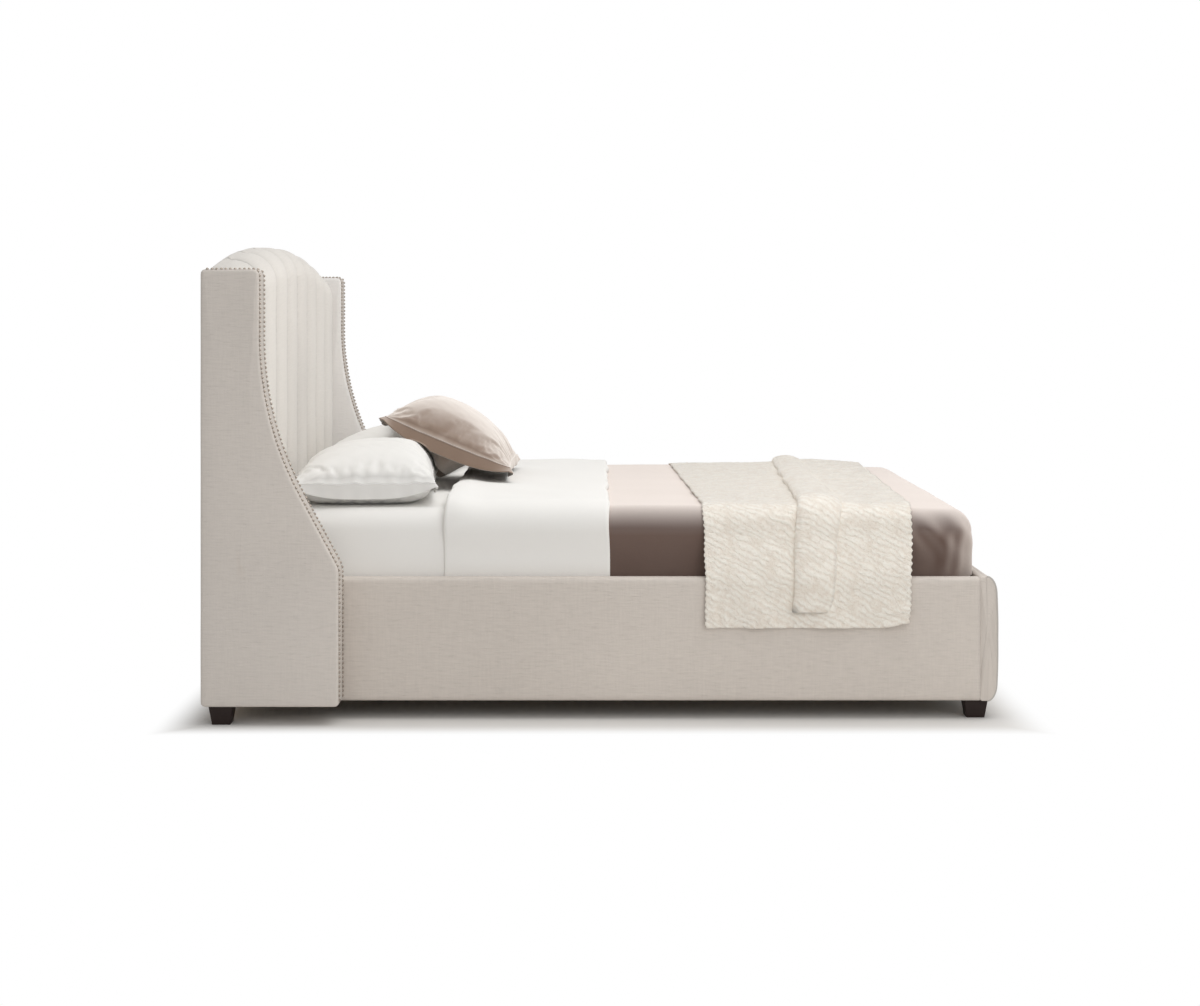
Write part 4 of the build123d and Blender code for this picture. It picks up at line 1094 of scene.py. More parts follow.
def make_blanket(name):
    """The taupe blanket, tucked in at its sides and foot.

    Over the cover's form lie soft waves, folds that slant down to the foot corners, and the
    upright tucks of a folded corner, each a narrow bell curve across its own line.
    """
    hem, foot = low("blanket", 2), MATTRESS_HIGH[0]
    points, side_rows, edge_rows, inward = slab_cover(BLANKET_GROW, hem, 300, BLANKET_START + 0.06)
    x, y, z = (points[..., k].copy() for k in range(3))
    top = z.max()
    depth = (top - z) / (top - hem)
    slant = 0.0035 * np.sin(2 * math.pi * (x + 0.75 * (z - top)) / 0.085)
    slant *= smooth(x, foot - 0.42, foot - 0.10) * (np.abs(y) > 0.6)
    slant *= np.exp(-(((depth - 0.35) / 0.3) ** 2))
    tucks = np.zeros_like(x)
    for place, width, rise in BLANKET_TUCKS:
        across = x - (foot - place) - 0.12 * (z - top + 0.05)
        tucks += rise * np.exp(-((across / width) ** 2))
    tucks *= (np.abs(y) > MATTRESS_HIGH[1] - 0.05) * smooth(top - z, 0.03, 0.09)
    wave = 0.0016 * ripple(x * 1.4, z * 0.8, 0.24, 41)
    push = np.maximum(slant + tucks + wave + 0.0012, -0.001) * smooth(z, RAIL_TOP - 0.03, RAIL_TOP + 0.03)
    lift = 0.0018 * (1 + ripple(x, y * 1.2, 0.42, 42))
    row = np.arange(len(points))[:, None]
    points[..., :2] -= inward * (push * (row < edge_rows))[..., None]
    points[..., 2] += lift * np.where(row < edge_rows, smooth(row, side_rows, edge_rows), 1)
    # Painted light on the blanket's top, and painted shade that grows down its sides.
    painted_shade = 0.75 * smooth(top - points[..., 2], -0.01, 0.19) - 0.3
    piece = cover_piece(name, points, "taupe_cotton", False, painted_shade)
    return piece


def drape_path(level, side, radius, hem, count, rail=None):
    """A path across the bed, from the left hem up, over the mattress and down to the right hem.

    With a rail it also goes over that, and a moving mean rounds its corners.
    """
    rise = [np.array([[-side, hem]])]
    if rail is not None:
        rise = [line((-rail, hem), (-rail, RAIL_TOP), 12), np.array([[-side, level - radius]])]
    left = joined(*rise, arc((-(side - radius), level - radius), radius, 180, 90, 14), [(0, level)])
    path = evenly(joined(left, (left * [-1, 1])[::-1]), count)
    if rail is None:
        return path
    reach = 6
    before, after = 2 * path[:1] - path[reach:0:-1], 2 * path[-1:] - path[-2 : -reach - 2 : -1]
    padded = np.concatenate([before, path, after])
    window = np.hanning(2 * reach + 3)[1:-1]
    window /= window.sum()
    return np.stack([np.convolve(padded[:, k], window, "valid") for k in range(2)], axis=1)


def lifted(x, path, rise):
    """Points of a cloth that follows a path across the bed, moved off it by rise."""
    normal = normals_of(path)
    return np.stack([x, path[:, :1] + normal[:, :1] * rise, path[:, 1:] + normal[:, 1:] * rise], axis=-1)


def make_turned_sheet(name, sizes):
    """The white sheet turned down over the blanket.

    Across the bed it follows the blanket. Along the bed its two edges are rolled: the section
    is a long flat loop, whose height is the sheet's thickness, less down the sides.
    """
    side = MATTRESS_HIGH[1] + BLANKET_GROW
    level = MATTRESS_HIGH[2] + BLANKET_GROW
    path = drape_path(level, side, MATTRESS_ROUND + BLANKET_GROW, low("turned_sheet", 2), 260)
    nose = sizes.turn_thickness / 2
    loop = joined(
        line((TURN_START + 0.10, 0.001), (TURN_START + nose, 0.001), 8),
        arc((TURN_START + nose, nose), nose, 270, 90, 10),
        line((TURN_START + nose, 2 * nose), (TURN_END - nose, 2 * nose), 90),
        arc((TURN_END - nose, nose), nose, 90, -90, 10),
        line((TURN_END - nose, 0.001), (TURN_END - 0.05, 0.001), 6),
    )
    v = evenly(loop, 150)
    z = path[:, 1:]
    fullness = 0.16 + 0.84 * smooth(z, level - 0.14, level - 0.01)
    x = np.broadcast_to(v[:, 0], (len(path), len(v)))
    y = np.broadcast_to(path[:, :1], x.shape)
    upper = smooth(v[:, 1], nose, 2 * nose)
    puff = 0.003 * (1 + ripple(x * 1.2, y * 0.9, 0.26, 51)) * upper * fullness
    head_roll = 0.012 * np.exp(-(((x - TURN_START - 0.03) / 0.05) ** 2)) * upper
    rise = v[:, 1] * fullness + puff + head_roll * smooth(z, level - 0.05, level)
    above = smooth(z, RAIL_TOP - 0.03, RAIL_TOP + 0.04)
    rise = np.where(v[:, 1] > nose, np.maximum(rise * (0.35 + 0.65 * above), 0.0015), rise)
    drift = 0.006 * ripple(y * 1.5, 0 * y + 0.3, 0.5, 52) * smooth(np.abs(y), 0.0, 0.4)
    edge_x = x + drift + 0.004 * ripple(y * 2, z * 2 + 0 * y, 0.3, 53)
    uv = np.stack(np.broadcast_arrays(lengths(path)[:, None], lengths(v)), axis=-1)
    piece = grid_sheet(name, lifted(edge_x, path, rise), uv, "white_cotton", "mattress")
    return piece


# Throw


def throw_path(hem, count):
    """The throw's path over the bed and both rails, down to a hem."""
    side, radius = MATTRESS_HIGH[1] + BLANKET_GROW + 0.0035, MATTRESS_ROUND + BLANKET_GROW + 0.003
    return drape_path(THROW_TOP + THROW_OFF, side, radius, hem, count, RAIL_OUT + THROW_OFF)


def across_bed(y):
    """0 at the near wing's outer side, and 1 at the far one's."""
    return np.clip((y + WING_OUT) / (2 * WING_OUT), 0, 1)


def near_drop(y, z):
    """How far down the near side a place is: 0 on top of the bed, and 1 at the hem."""
    return np.clip((THROW_TOP - z) / (THROW_TOP - THROW_HEM), 0, 1) * (y < 0)


def make_throw(name, sizes):
    """The knitted throw: a path over the bed and both rails, carried along the bed.

    It is lifted by ripples that grow towards the hems, and its near corner turns up a little.
    Its two long edges run straight over the bed, bend at the near side, and waver.
    """
    path = throw_path(THROW_HEM, 430)
    v = np.linspace(0, 1, 116)
    y = np.broadcast_to(path[:, :1], (len(path), len(v)))
    z = np.broadcast_to(path[:, 1:], y.shape)
    along = lengths(path)[:, None] + 0 * y
    start = HEAD + THROW_START + THROW_START_MOVE * across_bed(y) + 0.0025 * ripple(along, 0 * y, 0.12, 61)
    start = start + 0.002 * np.sin(along * 2 * math.pi / 0.017)
    end = HEAD + THROW_END + THROW_END_MOVE * across_bed(y) - 0.018 * near_drop(y, z) ** 2
    end = end + 0.003 * ripple(along, 0 * y, 0.14, 62) + 0.0025 * np.sin(along * 2 * math.pi / 0.019)
    x = start + (end - start) * v
    hang = smooth(RAIL_TOP - z, -0.02, 0.14)
    folds = 0.004 * (1 + np.sin(2 * math.pi * (x - HEAD) / 0.19 + 1.2)) * hang
    broad, fine = (1 + ripple(x, along, size, seed) for size, seed in ((0.13, 63), (0.05, 64)))
    loose = 0.0016 * broad + 0.0015 * fine * (0.4 + hang)
    rise = folds + loose + 0.0012 * ripple(along, x, 0.018, 65)
    rise = rise + 0.013 * np.exp(-(((x - HEAD - 1.82) / 0.13) ** 2)) * smooth(y, -0.1, 0.6)
    corner = smooth(v, 0.86, 1.0) * smooth(THROW_HEM + 0.08 - z, 0, 0.08) * (y < 0)
    points = lifted(x, path, rise)
    points[..., 1] += normals_of(path)[:, :1] * 0.01 * corner
    points[..., 2] += 0.014 * corner
    piece = grid_sheet(name, points, np.stack([along, x - HEAD], axis=-1), "cream_knit", "throw")
    thickened(piece, sizes.throw_thickness * 0.5)
    return piece


def make_pleat(name, sizes):
    """The pleat: a second layer over the throw, a rounded ridge that leans towards the head.

    Across itself it is a flattened half ellipse. It runs from far to near over the bed, drifts
    along the bed as it does, and ends above the near hem.
    """
    path = throw_path(THROW_HEM + PLEAT_HEM, 340)
    y, z = path[:, :1], path[:, 1:]
    along = lengths(path)[:, None]
    share, hang = across_bed(y), near_drop(y, z)
    start = HEAD + PLEAT_START + PLEAT_START_MOVE * share - 0.024 * hang
    start = start + 0.005 * ripple(along, 0 * along, 0.3, 71)
    width = PLEAT_WIDTH + PLEAT_WIDTH_MOVE * share - 0.017 * hang
    turn = np.radians(np.linspace(-16, 196, 36))
    ridge = 0.5 - 0.5 * np.sign(np.cos(turn)) * np.abs(np.cos(turn)) ** 0.8
    x = start + width * ridge - 0.012 * np.sin(turn)
    end = smooth(along, 0, 0.012) * smooth(along[-1] - along, 0, 0.012)
    height = sizes.pleat_rise * (0.55 + 0.45 * end) * np.sin(turn) + 0.006
    height = height + 0.0016 * ripple(x, along + 0 * x, 0.06, 72)
    height = height + 0.0012 * ripple(along + 0 * x, x, 0.018, 65)
    uv = np.stack(np.broadcast_arrays(along, x - HEAD), axis=-1)
    # Painted shadow at the pleat's near end along its head side, and painted shade along its foot side as it
    # hangs down the near side.
    painted_dark = 1.3 * np.exp(-((along / 0.012) ** 2)) * smooth(np.cos(turn), 0.3, 0.8)
    painted_dark = painted_dark + 0.45 * smooth(-np.cos(turn), 0.88, 1.0) * hang
    piece = grid_sheet(name, lifted(x, path, height), uv, "cream_knit", "throw", painted_dark)
    thickened(piece, sizes.throw_thickness * 0.5)
    return piece


# Pillows and cushion


def stuffed_grid(half, out, corner_out, drop, upper_of, lower_of, seed, wrinkle, seam_sag, seam_wave):
    """Upper and lower faces of a stuffed cover with a flange, about its seam's middle.

    Inside the seam the faces stand off by upper_of and lower_of, functions of u and v from -1 to
    1. The sides are drawn in by 1 - v^2 between the corners. The seam sags by seam_sag times
    1 - u^2 in the middle of its two long sides, and waves up and down. Beyond the seam the flange
    hangs by the drop while it goes out by out, less at the corners. Gathers stand square to the
    seam, and folds run in from the corners. Returns also each point's painted shade: painted
    shade just inside the seam and on the flange, a painted highlight on the piping, and painted
    light and shade on the wrinkles.
    """
    seam, flange = SEAM_SHARE, 1 - SEAM_SHARE
    edge = seam + flange * np.array([0.02, 0.05, 0.08, 0.12, 0.18, 0.28, 0.4, 0.52, 0.64, 0.76, 0.88, 1.0])
    inner = [np.linspace(-1, 1, count) for count in (66, 92)]
    inner = [seam * (np.sin(step * math.pi / 2) * 0.3 + step * 0.7) for step in inner]
    across, along = (np.concatenate([-edge[::-1], step, edge]) for step in inner)
    s, t = np.meshgrid(across, along, indexing="ij")
    u, v = np.clip(s / seam, -1, 1), np.clip(t / seam, -1, 1)
    beyond = np.clip((np.maximum(np.abs(s), np.abs(t)) - seam) / flange, 0, 1)
    ends = (np.abs(u) * np.abs(v)) ** 3
    cord = np.exp(-(((beyond - 0.05) / 0.035) ** 2))
    reach = (out + corner_out * ends) * beyond + 0.0016 * cord

    def flanged(size, own, other, place):
        """A coordinate across the cover, drawn in between the corners and out past the seam."""
        inside = size * own - np.sign(own) * SIDES_DRAWN * np.abs(own) ** 3 * (1 - other**2)
        share = np.clip((np.abs(place) - seam) / flange / np.maximum(beyond, 1e-6), 0, 1)
        return inside + np.sign(place) * reach * share

    x, y = flanged(half[0], u, v, s), flanged(half[1], v, u, t)
    from_u, from_v = (1 - np.abs(u)) * half[0], (1 - np.abs(v)) * half[1]
    to_seam = np.minimum(from_u, from_v)
    gather = ripple(y, 0 * y, 0.05, seed) * np.exp(-from_u / 0.03)
    gather += ripple(x, 0 * x, 0.05, seed + 1) * np.exp(-from_v / 0.03)
    corner = np.hypot(from_u, from_v)
    angle = np.arctan2(from_v, from_u + 1e-6)
    which = np.sign(u) * 1.7 + np.sign(v) * 0.9
    rays = np.sin(angle * 9 + which * 3 + seed) * np.exp(-corner / 0.09) * smooth(corner, 0.0, 0.03)
    broad = ripple(x, y, 0.15, seed + 2) + 0.35 * ripple(x * 1.6, y, 0.06, seed + 3)
    fine = 0.16 * ripple(x * 2.2 + y * 1.6, y * 0.5 - x * 0.4, 0.05, seed + 6)
    inside = (1 - beyond) * smooth(to_seam, 0, 0.012)
    fold = wrinkle * (gather + 1.1 * rays + 0.4 * broad + fine) * inside
    wave = 0.0022 * ripple(x, y, 0.07, seed + 4) * beyond
    sag = drop * beyond**1.15 * (1 - 0.75 * ends) + seam_sag * (1 - u**2) * np.abs(v) ** 3
    by_seam = np.exp(-((to_seam / 0.02) ** 2)) * (1 - beyond)
    sag = sag + seam_wave * ripple(x * 1.3, y * 1.3, 0.07, seed + 5) * by_seam
    x = x + np.sign(s) * wave * (np.abs(u) > 0.99)
    y = y + np.sign(t) * wave * (np.abs(v) > 0.99)
    upper = np.stack([x, y, 0.0012 + upper_of(u, v) + fold - sag + 0.0012 * cord], axis=-1)
    lower = np.stack([x, y, -0.0012 - lower_of(u, v) - 0.4 * fold - sag], axis=-1)
    # Painted shade just inside the seam and on the flange, a painted highlight along the piping, and painted
    # light and shade on the wrinkles.
    painted_dark = 0.30 * np.exp(-(((to_seam - 0.006) / 0.006) ** 2)) * (beyond == 0)
    painted_low_shade = 0.05 * smooth(beyond, 0.06, 0.4)
    return upper, lower, np.stack([x, y], axis=-1), painted_dark + painted_low_shade - 0.6 * cord - 22 * fold * inside


def two_faced(name, upper, lower, uv, slot, body, painted_shade, under):
    """A closed form from an upper and a lower grid whose rims are joined, with under added to the lower
    face's painted shade.
    """
    rows, columns, _ = upper.shape
    count = rows * columns
    top = quads_of(rows, columns, False)
    grid = np.arange(count).reshape(rows, columns)
    rim = np.concatenate([grid[0], grid[1:, -1], grid[-1, -2::-1], grid[-2:0:-1, 0]])
    beside = np.roll(rim, -1)
    walls = np.stack([rim, beside, beside + count, rim + count], axis=-1)
    quads = np.concatenate([top, top[:, ::-1] + count, walls])
    shade = np.stack([painted_shade, painted_shade + under])
    piece = build(name, [upper, lower], quads, NO_TRIANGLES, [uv, uv], slot, body, shade)
    return welded(piece, 1e-7)


def places_of(mesh):
    """The places of a mesh's points."""
    places = np.empty(len(mesh.vertices) * 3, np.float32)
    mesh.vertices.foreach_get("co", places)
    return places.reshape(-1, 3)


def settled(piece, held, reach, floor_of):
    """Let the cloth of a stuffed piece settle by a simulation, and keep its wrinkles.

    The cover is a little larger than its filling and swells under a small pressure. Each point
    moves by no more than reach, and by none where held is 1, and stays over floor_of.
    """
    before = places_of(piece.data)
    share = held(before)
    pins = piece.vertex_groups.new(name="held")
    pins.add(np.flatnonzero(share > 0.5).tolist(), 1.0, "REPLACE")
    cloth = piece.modifiers.new("cloth", "CLOTH")
    settings = cloth.settings
    settings.quality, settings.mass = 5, 0.25
    settings.tension_stiffness = settings.compression_stiffness = 14
    settings.shear_stiffness, settings.bending_stiffness = 4, 0.12
    settings.air_damping = 4
    settings.use_pressure, settings.uniform_pressure_force = True, CLOTH_PRESSURE
    settings.shrink_min = -CLOTH_FULLNESS
    settings.vertex_group_mass, settings.pin_stiffness = "held", 1
    settings.effector_weights.gravity = 0
    scene = bpy.context.scene
    cloth.point_cache.frame_start, cloth.point_cache.frame_end = 1, CLOTH_FRAMES
    for step in range(1, CLOTH_FRAMES + 1):
        scene.frame_set(step)
    shape = piece.evaluated_get(bpy.context.evaluated_depsgraph_get()).data
    moved = places_of(shape) - before
    size = np.linalg.norm(moved, axis=1, keepdims=True)
    points = before + moved * np.minimum(1, reach / np.maximum(size, 1e-9)) * (1 - share[:, None])
    points[:, 2] = np.maximum(points[:, 2], floor_of(points))
    piece.modifiers.remove(cloth)
    piece.vertex_groups.remove(pins)
    piece.data.vertices.foreach_set("co", points.astype(np.float32).ravel())
    piece.data.update()
    scene.frame_set(1)


def pillow_crown(u, v):
    """How far a pillow's upper face stands over its seam, with its highest part towards the foot."""
    moved = u - 0.25 * (1 - u**2)
    power = np.where(moved < 0, 2.5, 3.0)
    return PILLOW_CROWN * (1 - np.abs(moved) ** power) ** 0.52 * (1 - np.abs(v) ** 2.8) ** 0.55


def pillow_belly(u, v):
    """How far a pillow's lower face hangs under its seam."""
    return PILLOW_BELLY * (1 - np.abs(u) ** 3) ** 0.5 * (1 - np.abs(v) ** 3) ** 0.5


def cushion_crown(u, v):
    """How far the cushion's upper face stands over its seam, with its highest part to the head."""
    moved = u + 0.18 * (1 - u**2)
    return CUSHION_CROWN * (1 - np.abs(moved) ** 2.0) ** 0.72 * (1 - np.abs(v) ** 3.0) ** 0.6


def cushion_belly(u, v):
    """How far the cushion's lower face hangs under its seam: shallow, but sagging in its middle."""
    sag = CUSHION_SAG * np.exp(-(((u - 0.02) / 0.22) ** 2))
    return (CUSHION_BELLY * (1 - np.abs(u) ** 2.4) ** 0.7 + sag) * (1 - np.abs(v) ** 2.6) ** 0.6


def pillow_frame(side):
    """A pillow's middle on the seam, and its directions to the foot of the bed, outwards and up."""
    height = MATTRESS_HIGH[2] + PILLOW_SEAM + 0.002
    middle = np.array([HEAD + PILLOW_PLACE[0], side * PILLOW_PLACE[1], height])
    cosine, sine = math.cos(PILLOW_TURN), math.sin(PILLOW_TURN)
    return middle, np.array([[cosine, -side * sine, 0], [side * sine, cosine, 0], [0, 0, 1]])


def in_place(face, middle, axes):
    """Points given in a piece's own directions, at their place."""
    for k, axis in enumerate(axes):
        middle = middle + face[..., k : k + 1] * axis
    return middle


def own_shares(points, middle, axes, half):
    """Where points lie on a stuffed piece in its first two directions, from -1 to 1 in its seam."""
    return [((points - middle) * axes[k]).sum(-1) / half[k] for k in range(2)]


def near_seam(u, v):
    """1 at the seam of a stuffed piece and past it, and 0 inside it."""
    return smooth(np.maximum(np.abs(u), np.abs(v)), 0.93, 0.99)


def make_pillow(name, node_name, side, seed):
    """A white pillow on the fitted sheet: a stuffed form, turned a little, flat where it rests."""
    middle, axes = pillow_frame(side)
    upper, lower, uv, painted_shade = stuffed_grid(
        PILLOW_HALF, 0.005, 0.003, 0.045, pillow_crown, pillow_belly, seed, 0.0024, 0.0, 0.004
    )
    rest = low(node_name, 2) + 0.0005
    upper, lower = (in_place(face, middle, axes) for face in (upper, lower))
    upper[..., 2] = np.maximum(upper[..., 2], rest + 0.002)
    lower[..., 2] = np.maximum(lower[..., 2], rest)
    # 0.2 more painted shade over the whole pillow, and painted light on its lower face, 0.7 less there.
    piece = two_faced(name, upper, lower, uv, "white_cotton", "pillows", painted_shade + 0.2, -0.7)

    def held(points):
        seam = near_seam(*own_shares(points, middle, axes, PILLOW_HALF))
        return np.maximum(seam, points[:, 2] < rest + 0.004)

    settled(piece, held, PILLOW_SETTLES, lambda points: rest + 0 * points[:, 2])
    return piece


def under_cushion(points):
    """The height of what lies under the cushion: the sheets, and the pillows where they are.

    Past a pillow's edge its height falls by 1.1 times the distance.
    """
    x = points[..., 0]
    ground = np.full_like(x, MATTRESS_HIGH[2] + 0.003)
    ground = np.where(x > TURN_START - 0.01, high("turned_sheet", 2) + 0.006, ground)
    for side, _ in SIDES:
        middle, axes = pillow_frame(side)
        u, v = own_shares(points, middle, axes, PILLOW_HALF)
        beyond = np.maximum(np.abs([u, v]) - 1, 0) * np.reshape(PILLOW_HALF, (2,) + (1,) * u.ndim)
        top = middle[2] + pillow_crown(np.clip(u, -1, 1), np.clip(v, -1, 1)) + 0.006
        ground = np.maximum(ground, top - 1.1 * beyond.max(axis=0))
    return ground


def make_cushion(name):
    """The taupe cushion, tilted down towards the foot, pressed in where it rests on the pillows."""
    upper, lower, uv, painted_shade = stuffed_grid(
        CUSHION_HALF, 0.008, 0.008, 0.042, cushion_crown, cushion_belly, 83, 0.0026, 0.003, 0.001
    )
    middle = np.array(CUSHION_PLACE)
    cosine, sine = math.cos(CUSHION_TILT), math.sin(CUSHION_TILT)
    axes = np.array([[cosine, 0, -sine], [0, 1, 0], [sine, 0, cosine]])
    upper, lower = (in_place(face, middle, axes) for face in (upper, lower))
    upper[..., 2] = np.maximum(upper[..., 2], under_cushion(upper) + 0.002)
    lower[..., 2] = np.maximum(lower[..., 2], under_cushion(lower))
    # 0.9 more painted shade on the cushion's lower face.
    piece = two_faced(name, upper, lower, uv, "taupe_satin", "cushion", painted_shade, 0.9)

    def held(points):
        return near_seam(*own_shares(points, middle, axes, CUSHION_HALF))

    settled(piece, held, CUSHION_SETTLES, under_cushion)
    return piece


# Stage


def seen_ray(tree):
    """1 for rays from the camera, also mirrored or let through, and 0 for those that only light."""
    rays = node(tree, "ShaderNodeLightPath").outputs
    seen = maths(tree, "MAXIMUM", rays["Is Camera Ray"], rays["Is Glossy Ray"])
    return maths(tree, "MAXIMUM", seen, rays["Is Transmission Ray"])


def make_stage(colours):
    """A pale floor that fades to the white background a little way from the bed."""
    span = 14.0
    corners = [(-span, -span, 0), (span, -span, 0), (span, span, 0), (-span, span, 0)]
    mesh = bpy.data.meshes.new("floor")
    mesh.from_pydata(corners, [], [(0, 1, 2, 3)])
    floor = linked("floor", mesh)
    material, tree, shader = new_material("Pale floor", Roughness=0.9, Specular_IOR_Level=0.1)
    place = coordinates(tree, "Object")
    tone = toned(tree, colours.floor, noise(tree, place, 1.5), (0.985, 1.01))
    tree.links.new(tone, shader.inputs["Base Color"])
    split = node(tree, "ShaderNodeSeparateXYZ", {0: place}).outputs
    beyond_x = maths(tree, "SUBTRACT", maths(tree, "ABSOLUTE", split[0]), FOOT)
    beyond_y = maths(tree, "SUBTRACT", maths(tree, "ABSOLUTE", split[1]), WING_OUT)
    beyond = maths(tree, "MAXIMUM", beyond_x, beyond_y)
    fade = ranged(tree, beyond, -0.01, 0.13, interpolation_type="SMOOTHSTEP")
    white = node(tree, "ShaderNodeEmission", {"Color": (1, 1, 1, 1), "Strength": 1.0})
    factor = maths(tree, "MULTIPLY", fade, seen_ray(tree))
    mixed = node(tree, "ShaderNodeMixShader", {0: factor, 1: shader.outputs[0], 2: white.outputs[0]})
    output = next(n for n in tree.nodes if n.type == "OUTPUT_MATERIAL")
    tree.links.new(mixed.outputs[0], output.inputs[0])
    floor.data.materials.append(material)


def area_light(name, place, target, size, energy):
    """A soft square lamp that faces a target."""
    lamp = bpy.data.lights.new(name, "AREA")
    lamp.size, lamp.energy = size, energy
    made = linked(name, lamp)
    made.location = place
    direction = np.array(target) - np.array(place)
    pitch = math.atan2(math.hypot(direction[0], direction[1]), -direction[2])
    made.rotation_euler = (pitch, 0, math.atan2(direction[1], direction[0]) - math.pi / 2)


CAMERA_PLACE = (-0.0069, -6.604, 1.1426)
CAMERA_LENS = 62.55
PICTURE_WIDTH, HORIZON_ABOVE_MIDDLE = 1200, 198


def make_camera():
    """A level camera square to the bed's side, shifted down as the picture's framing needs."""
    camera = bpy.data.cameras.new("camera")
    camera.lens, camera.sensor_width, camera.sensor_fit = CAMERA_LENS, 36.0, "HORIZONTAL"
    camera.shift_y = -HORIZON_ABOVE_MIDDLE / PICTURE_WIDTH
    made = linked("camera", camera)
    made.location = CAMERA_PLACE
    made.rotation_euler = (math.pi / 2, 0, 0)
    bpy.context.scene.camera = made


def make_lights():
    """A broad lamp overhead, a weaker one from the camera's side, and a white surround."""
    area_light("overhead", (0.9, -0.4, 3.5), (0.1, 0.1, 0.3), 3.2, 67)
    area_light("front", (1.6, -4.6, 2.0), (0.0, 0.0, 0.5), 3.0, 38)
    world = bpy.data.worlds.new("surround")
    bpy.context.scene.world = world
    world.use_nodes = True
    tree = world.node_tree
    tree.nodes.clear()
    soft = node(tree, "ShaderNodeBackground", {"Color": (1, 1, 1, 1), "Strength": 0.47})
    white = node(tree, "ShaderNodeBackground", {"Color": (1, 1, 1, 1), "Strength": 1.0})
    mixed = node(tree, "ShaderNodeMixShader", {0: seen_ray(tree), 1: soft.outputs[0], 2: white.outputs[0]})
    output = node(tree, "ShaderNodeOutputWorld")
    tree.links.new(mixed.outputs[0], output.inputs[0])
    bpy.context.scene.view_settings.view_transform = "Standard"


# Operators

REPLACED = {"channel_pad", "footboard_cover", "footboard_welt"}
REPLACED |= {f"{stem}_{word}" for stem in ("wing_cover", "side_rail_cover", "nail_trim") for _, word in SIDES}


class BED_OT_stage(bpy.types.Operator):
    """Make the camera, lights, floor and finishes"""

    bl_idname = "bed.stage"
    bl_label = "Stage and Finishes"

    def execute(self, context):
        make_materials(context.scene.bed_colours)
        make_camera()
        make_lights()
        make_stage(context.scene.bed_colours)
        return {"FINISHED"}


class BED_OT_frame(bpy.types.Operator):
    """Finish the timber, steel and plastic pieces of the frame"""

    bl_idname = "bed.frame"
    bl_label = "Frame"

    def execute(self, context):
        bodies = {name: part["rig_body"] for name, part in frame["nodes"].items()}
        finish_nodes(*[name for name in bodies if bodies[name] == "frame" and name not in REPLACED])
        return {"FINISHED"}


class BED_OT_wings(bpy.types.Operator):
    """Upholster the two wings and drive their dome nails"""

    bl_idname = "bed.wings"
    bl_label = "Wings"

    def execute(self, context):
        for side, word in SIDES:
            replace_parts(make_wing(f"wing_{word}", side, context.scene.bed_sizes), f"wing_cover_{word}")
            nails = make_nails(f"nails_{word}", side, context.scene.bed_sizes)
            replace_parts(nails, f"nail_trim_{word}")
        return {"FINISHED"}


class BED_OT_headboard(bpy.types.Operator):
    """Make the channelled headboard pad"""

    bl_idname = "bed.headboard"
    bl_label = "Headboard Pad"

    def execute(self, context):
        pad = make_channels("headboard_channels", context.scene.bed_sizes)
        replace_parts(pad, "channel_pad")
        return {"FINISHED"}


class BED_OT_rails(bpy.types.Operator):
    """Upholster the side rails and the footboard"""

    bl_idname = "bed.rails"
    bl_label = "Rails and Footboard"

    def execute(self, context):
        sizes = context.scene.bed_sizes
        for side, word in SIDES:
            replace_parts(make_rail(f"rail_{word}", side, sizes), f"side_rail_cover_{word}")
        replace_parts(make_footboard("footboard"), "footboard_cover")
        for welt in make_welts(sizes):
            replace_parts(welt, "footboard_welt")
        return {"FINISHED"}


class BED_OT_mattress(bpy.types.Operator):
    """Make the mattress and the sheets and blanket tucked round it"""

    bl_idname = "bed.mattress"
    bl_label = "Mattress and Covers"

    def execute(self, context):
        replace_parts(make_mattress("mattress_body"), "mattress")
        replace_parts(make_fitted_sheet("fitted_cover"), "fitted_sheet")
        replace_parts(make_blanket("taupe_blanket"), "blanket")
        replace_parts(make_turned_sheet("turned_down_sheet", context.scene.bed_sizes), "turned_sheet")
        return {"FINISHED"}


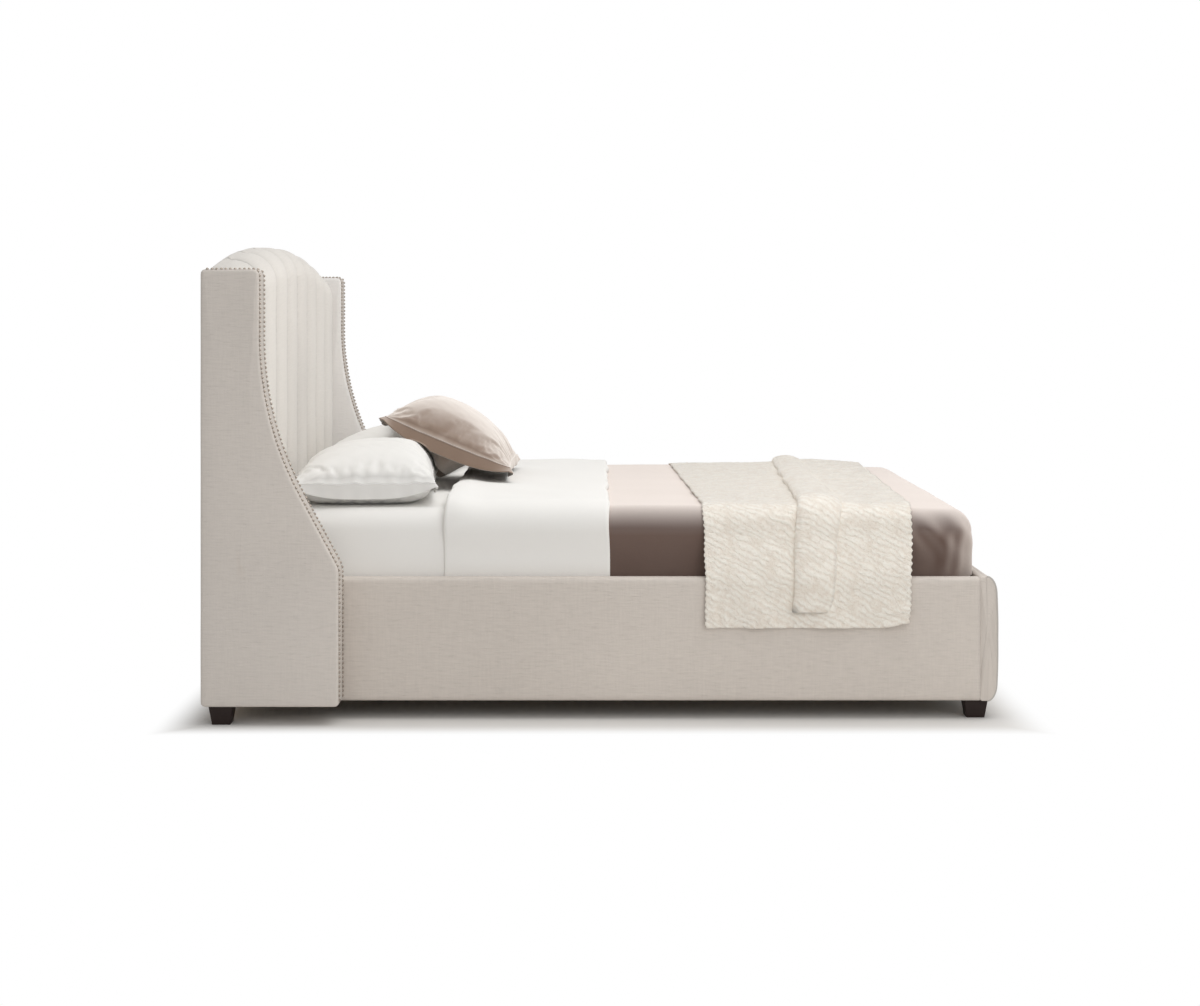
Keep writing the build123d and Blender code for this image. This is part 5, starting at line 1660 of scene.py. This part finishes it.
class BED_OT_throw(bpy.types.Operator):
    """Lay the knitted throw and its pleat across the bed"""

    bl_idname = "bed.throw"
    bl_label = "Throw"

    def execute(self, context):
        cloth = make_throw("knitted_throw", context.scene.bed_sizes)
        pleat = make_pleat("throw_pleat", context.scene.bed_sizes)
        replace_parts(cloth, "throw")
        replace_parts(pleat, "throw")
        return {"FINISHED"}


class BED_OT_pillows(bpy.types.Operator):
    """Make the white pillows and the taupe cushion"""

    bl_idname = "bed.pillows"
    bl_label = "Pillows and Cushion"

    def execute(self, context):
        for (side, word), seed in zip(SIDES, (4, 9)):
            pillow = make_pillow(f"white_pillow_{word}", f"pillow_{word}", side, seed)
            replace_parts(pillow, f"pillow_{word}")
        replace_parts(make_cushion("taupe_cushion"), "cushion")
        return {"FINISHED"}


class BED_PT_panel(bpy.types.Panel):
    """Sizes, colours and steps of the bed"""

    bl_idname = "BED_PT_panel"
    bl_label = "Wingback Bed"
    bl_space_type = "VIEW_3D"
    bl_region_type = "UI"
    bl_category = "Bed"

    def draw(self, context):
        for group in (context.scene.bed_sizes, context.scene.bed_colours):
            box = self.layout.box()
            for name in group.__annotations__:
                box.prop(group, name)
        for step in STEPS:
            self.layout.operator(step.bl_idname)


STEPS = (
    BED_OT_stage,
    BED_OT_frame,
    BED_OT_wings,
    BED_OT_headboard,
    BED_OT_rails,
    BED_OT_mattress,
    BED_OT_throw,
    BED_OT_pillows,
)
CLASSES = (BedSizes, BedColours) + STEPS + (BED_PT_panel,)


def register():
    for made in CLASSES:
        bpy.utils.register_class(made)
    bpy.types.Scene.bed_sizes = bpy.props.PointerProperty(type=BedSizes)
    bpy.types.Scene.bed_colours = bpy.props.PointerProperty(type=BedColours)


def unregister():
    del bpy.types.Scene.bed_sizes
    del bpy.types.Scene.bed_colours
    for made in reversed(CLASSES):
        bpy.utils.unregister_class(made)


def main():
    register()
    bpy.ops.bed.stage()
    bpy.ops.bed.frame()
    bpy.ops.bed.wings()
    bpy.ops.bed.headboard()
    bpy.ops.bed.rails()
    bpy.ops.bed.mattress()
    bpy.ops.bed.throw()
    bpy.ops.bed.pillows()


if __name__ == "__main__":
    main()
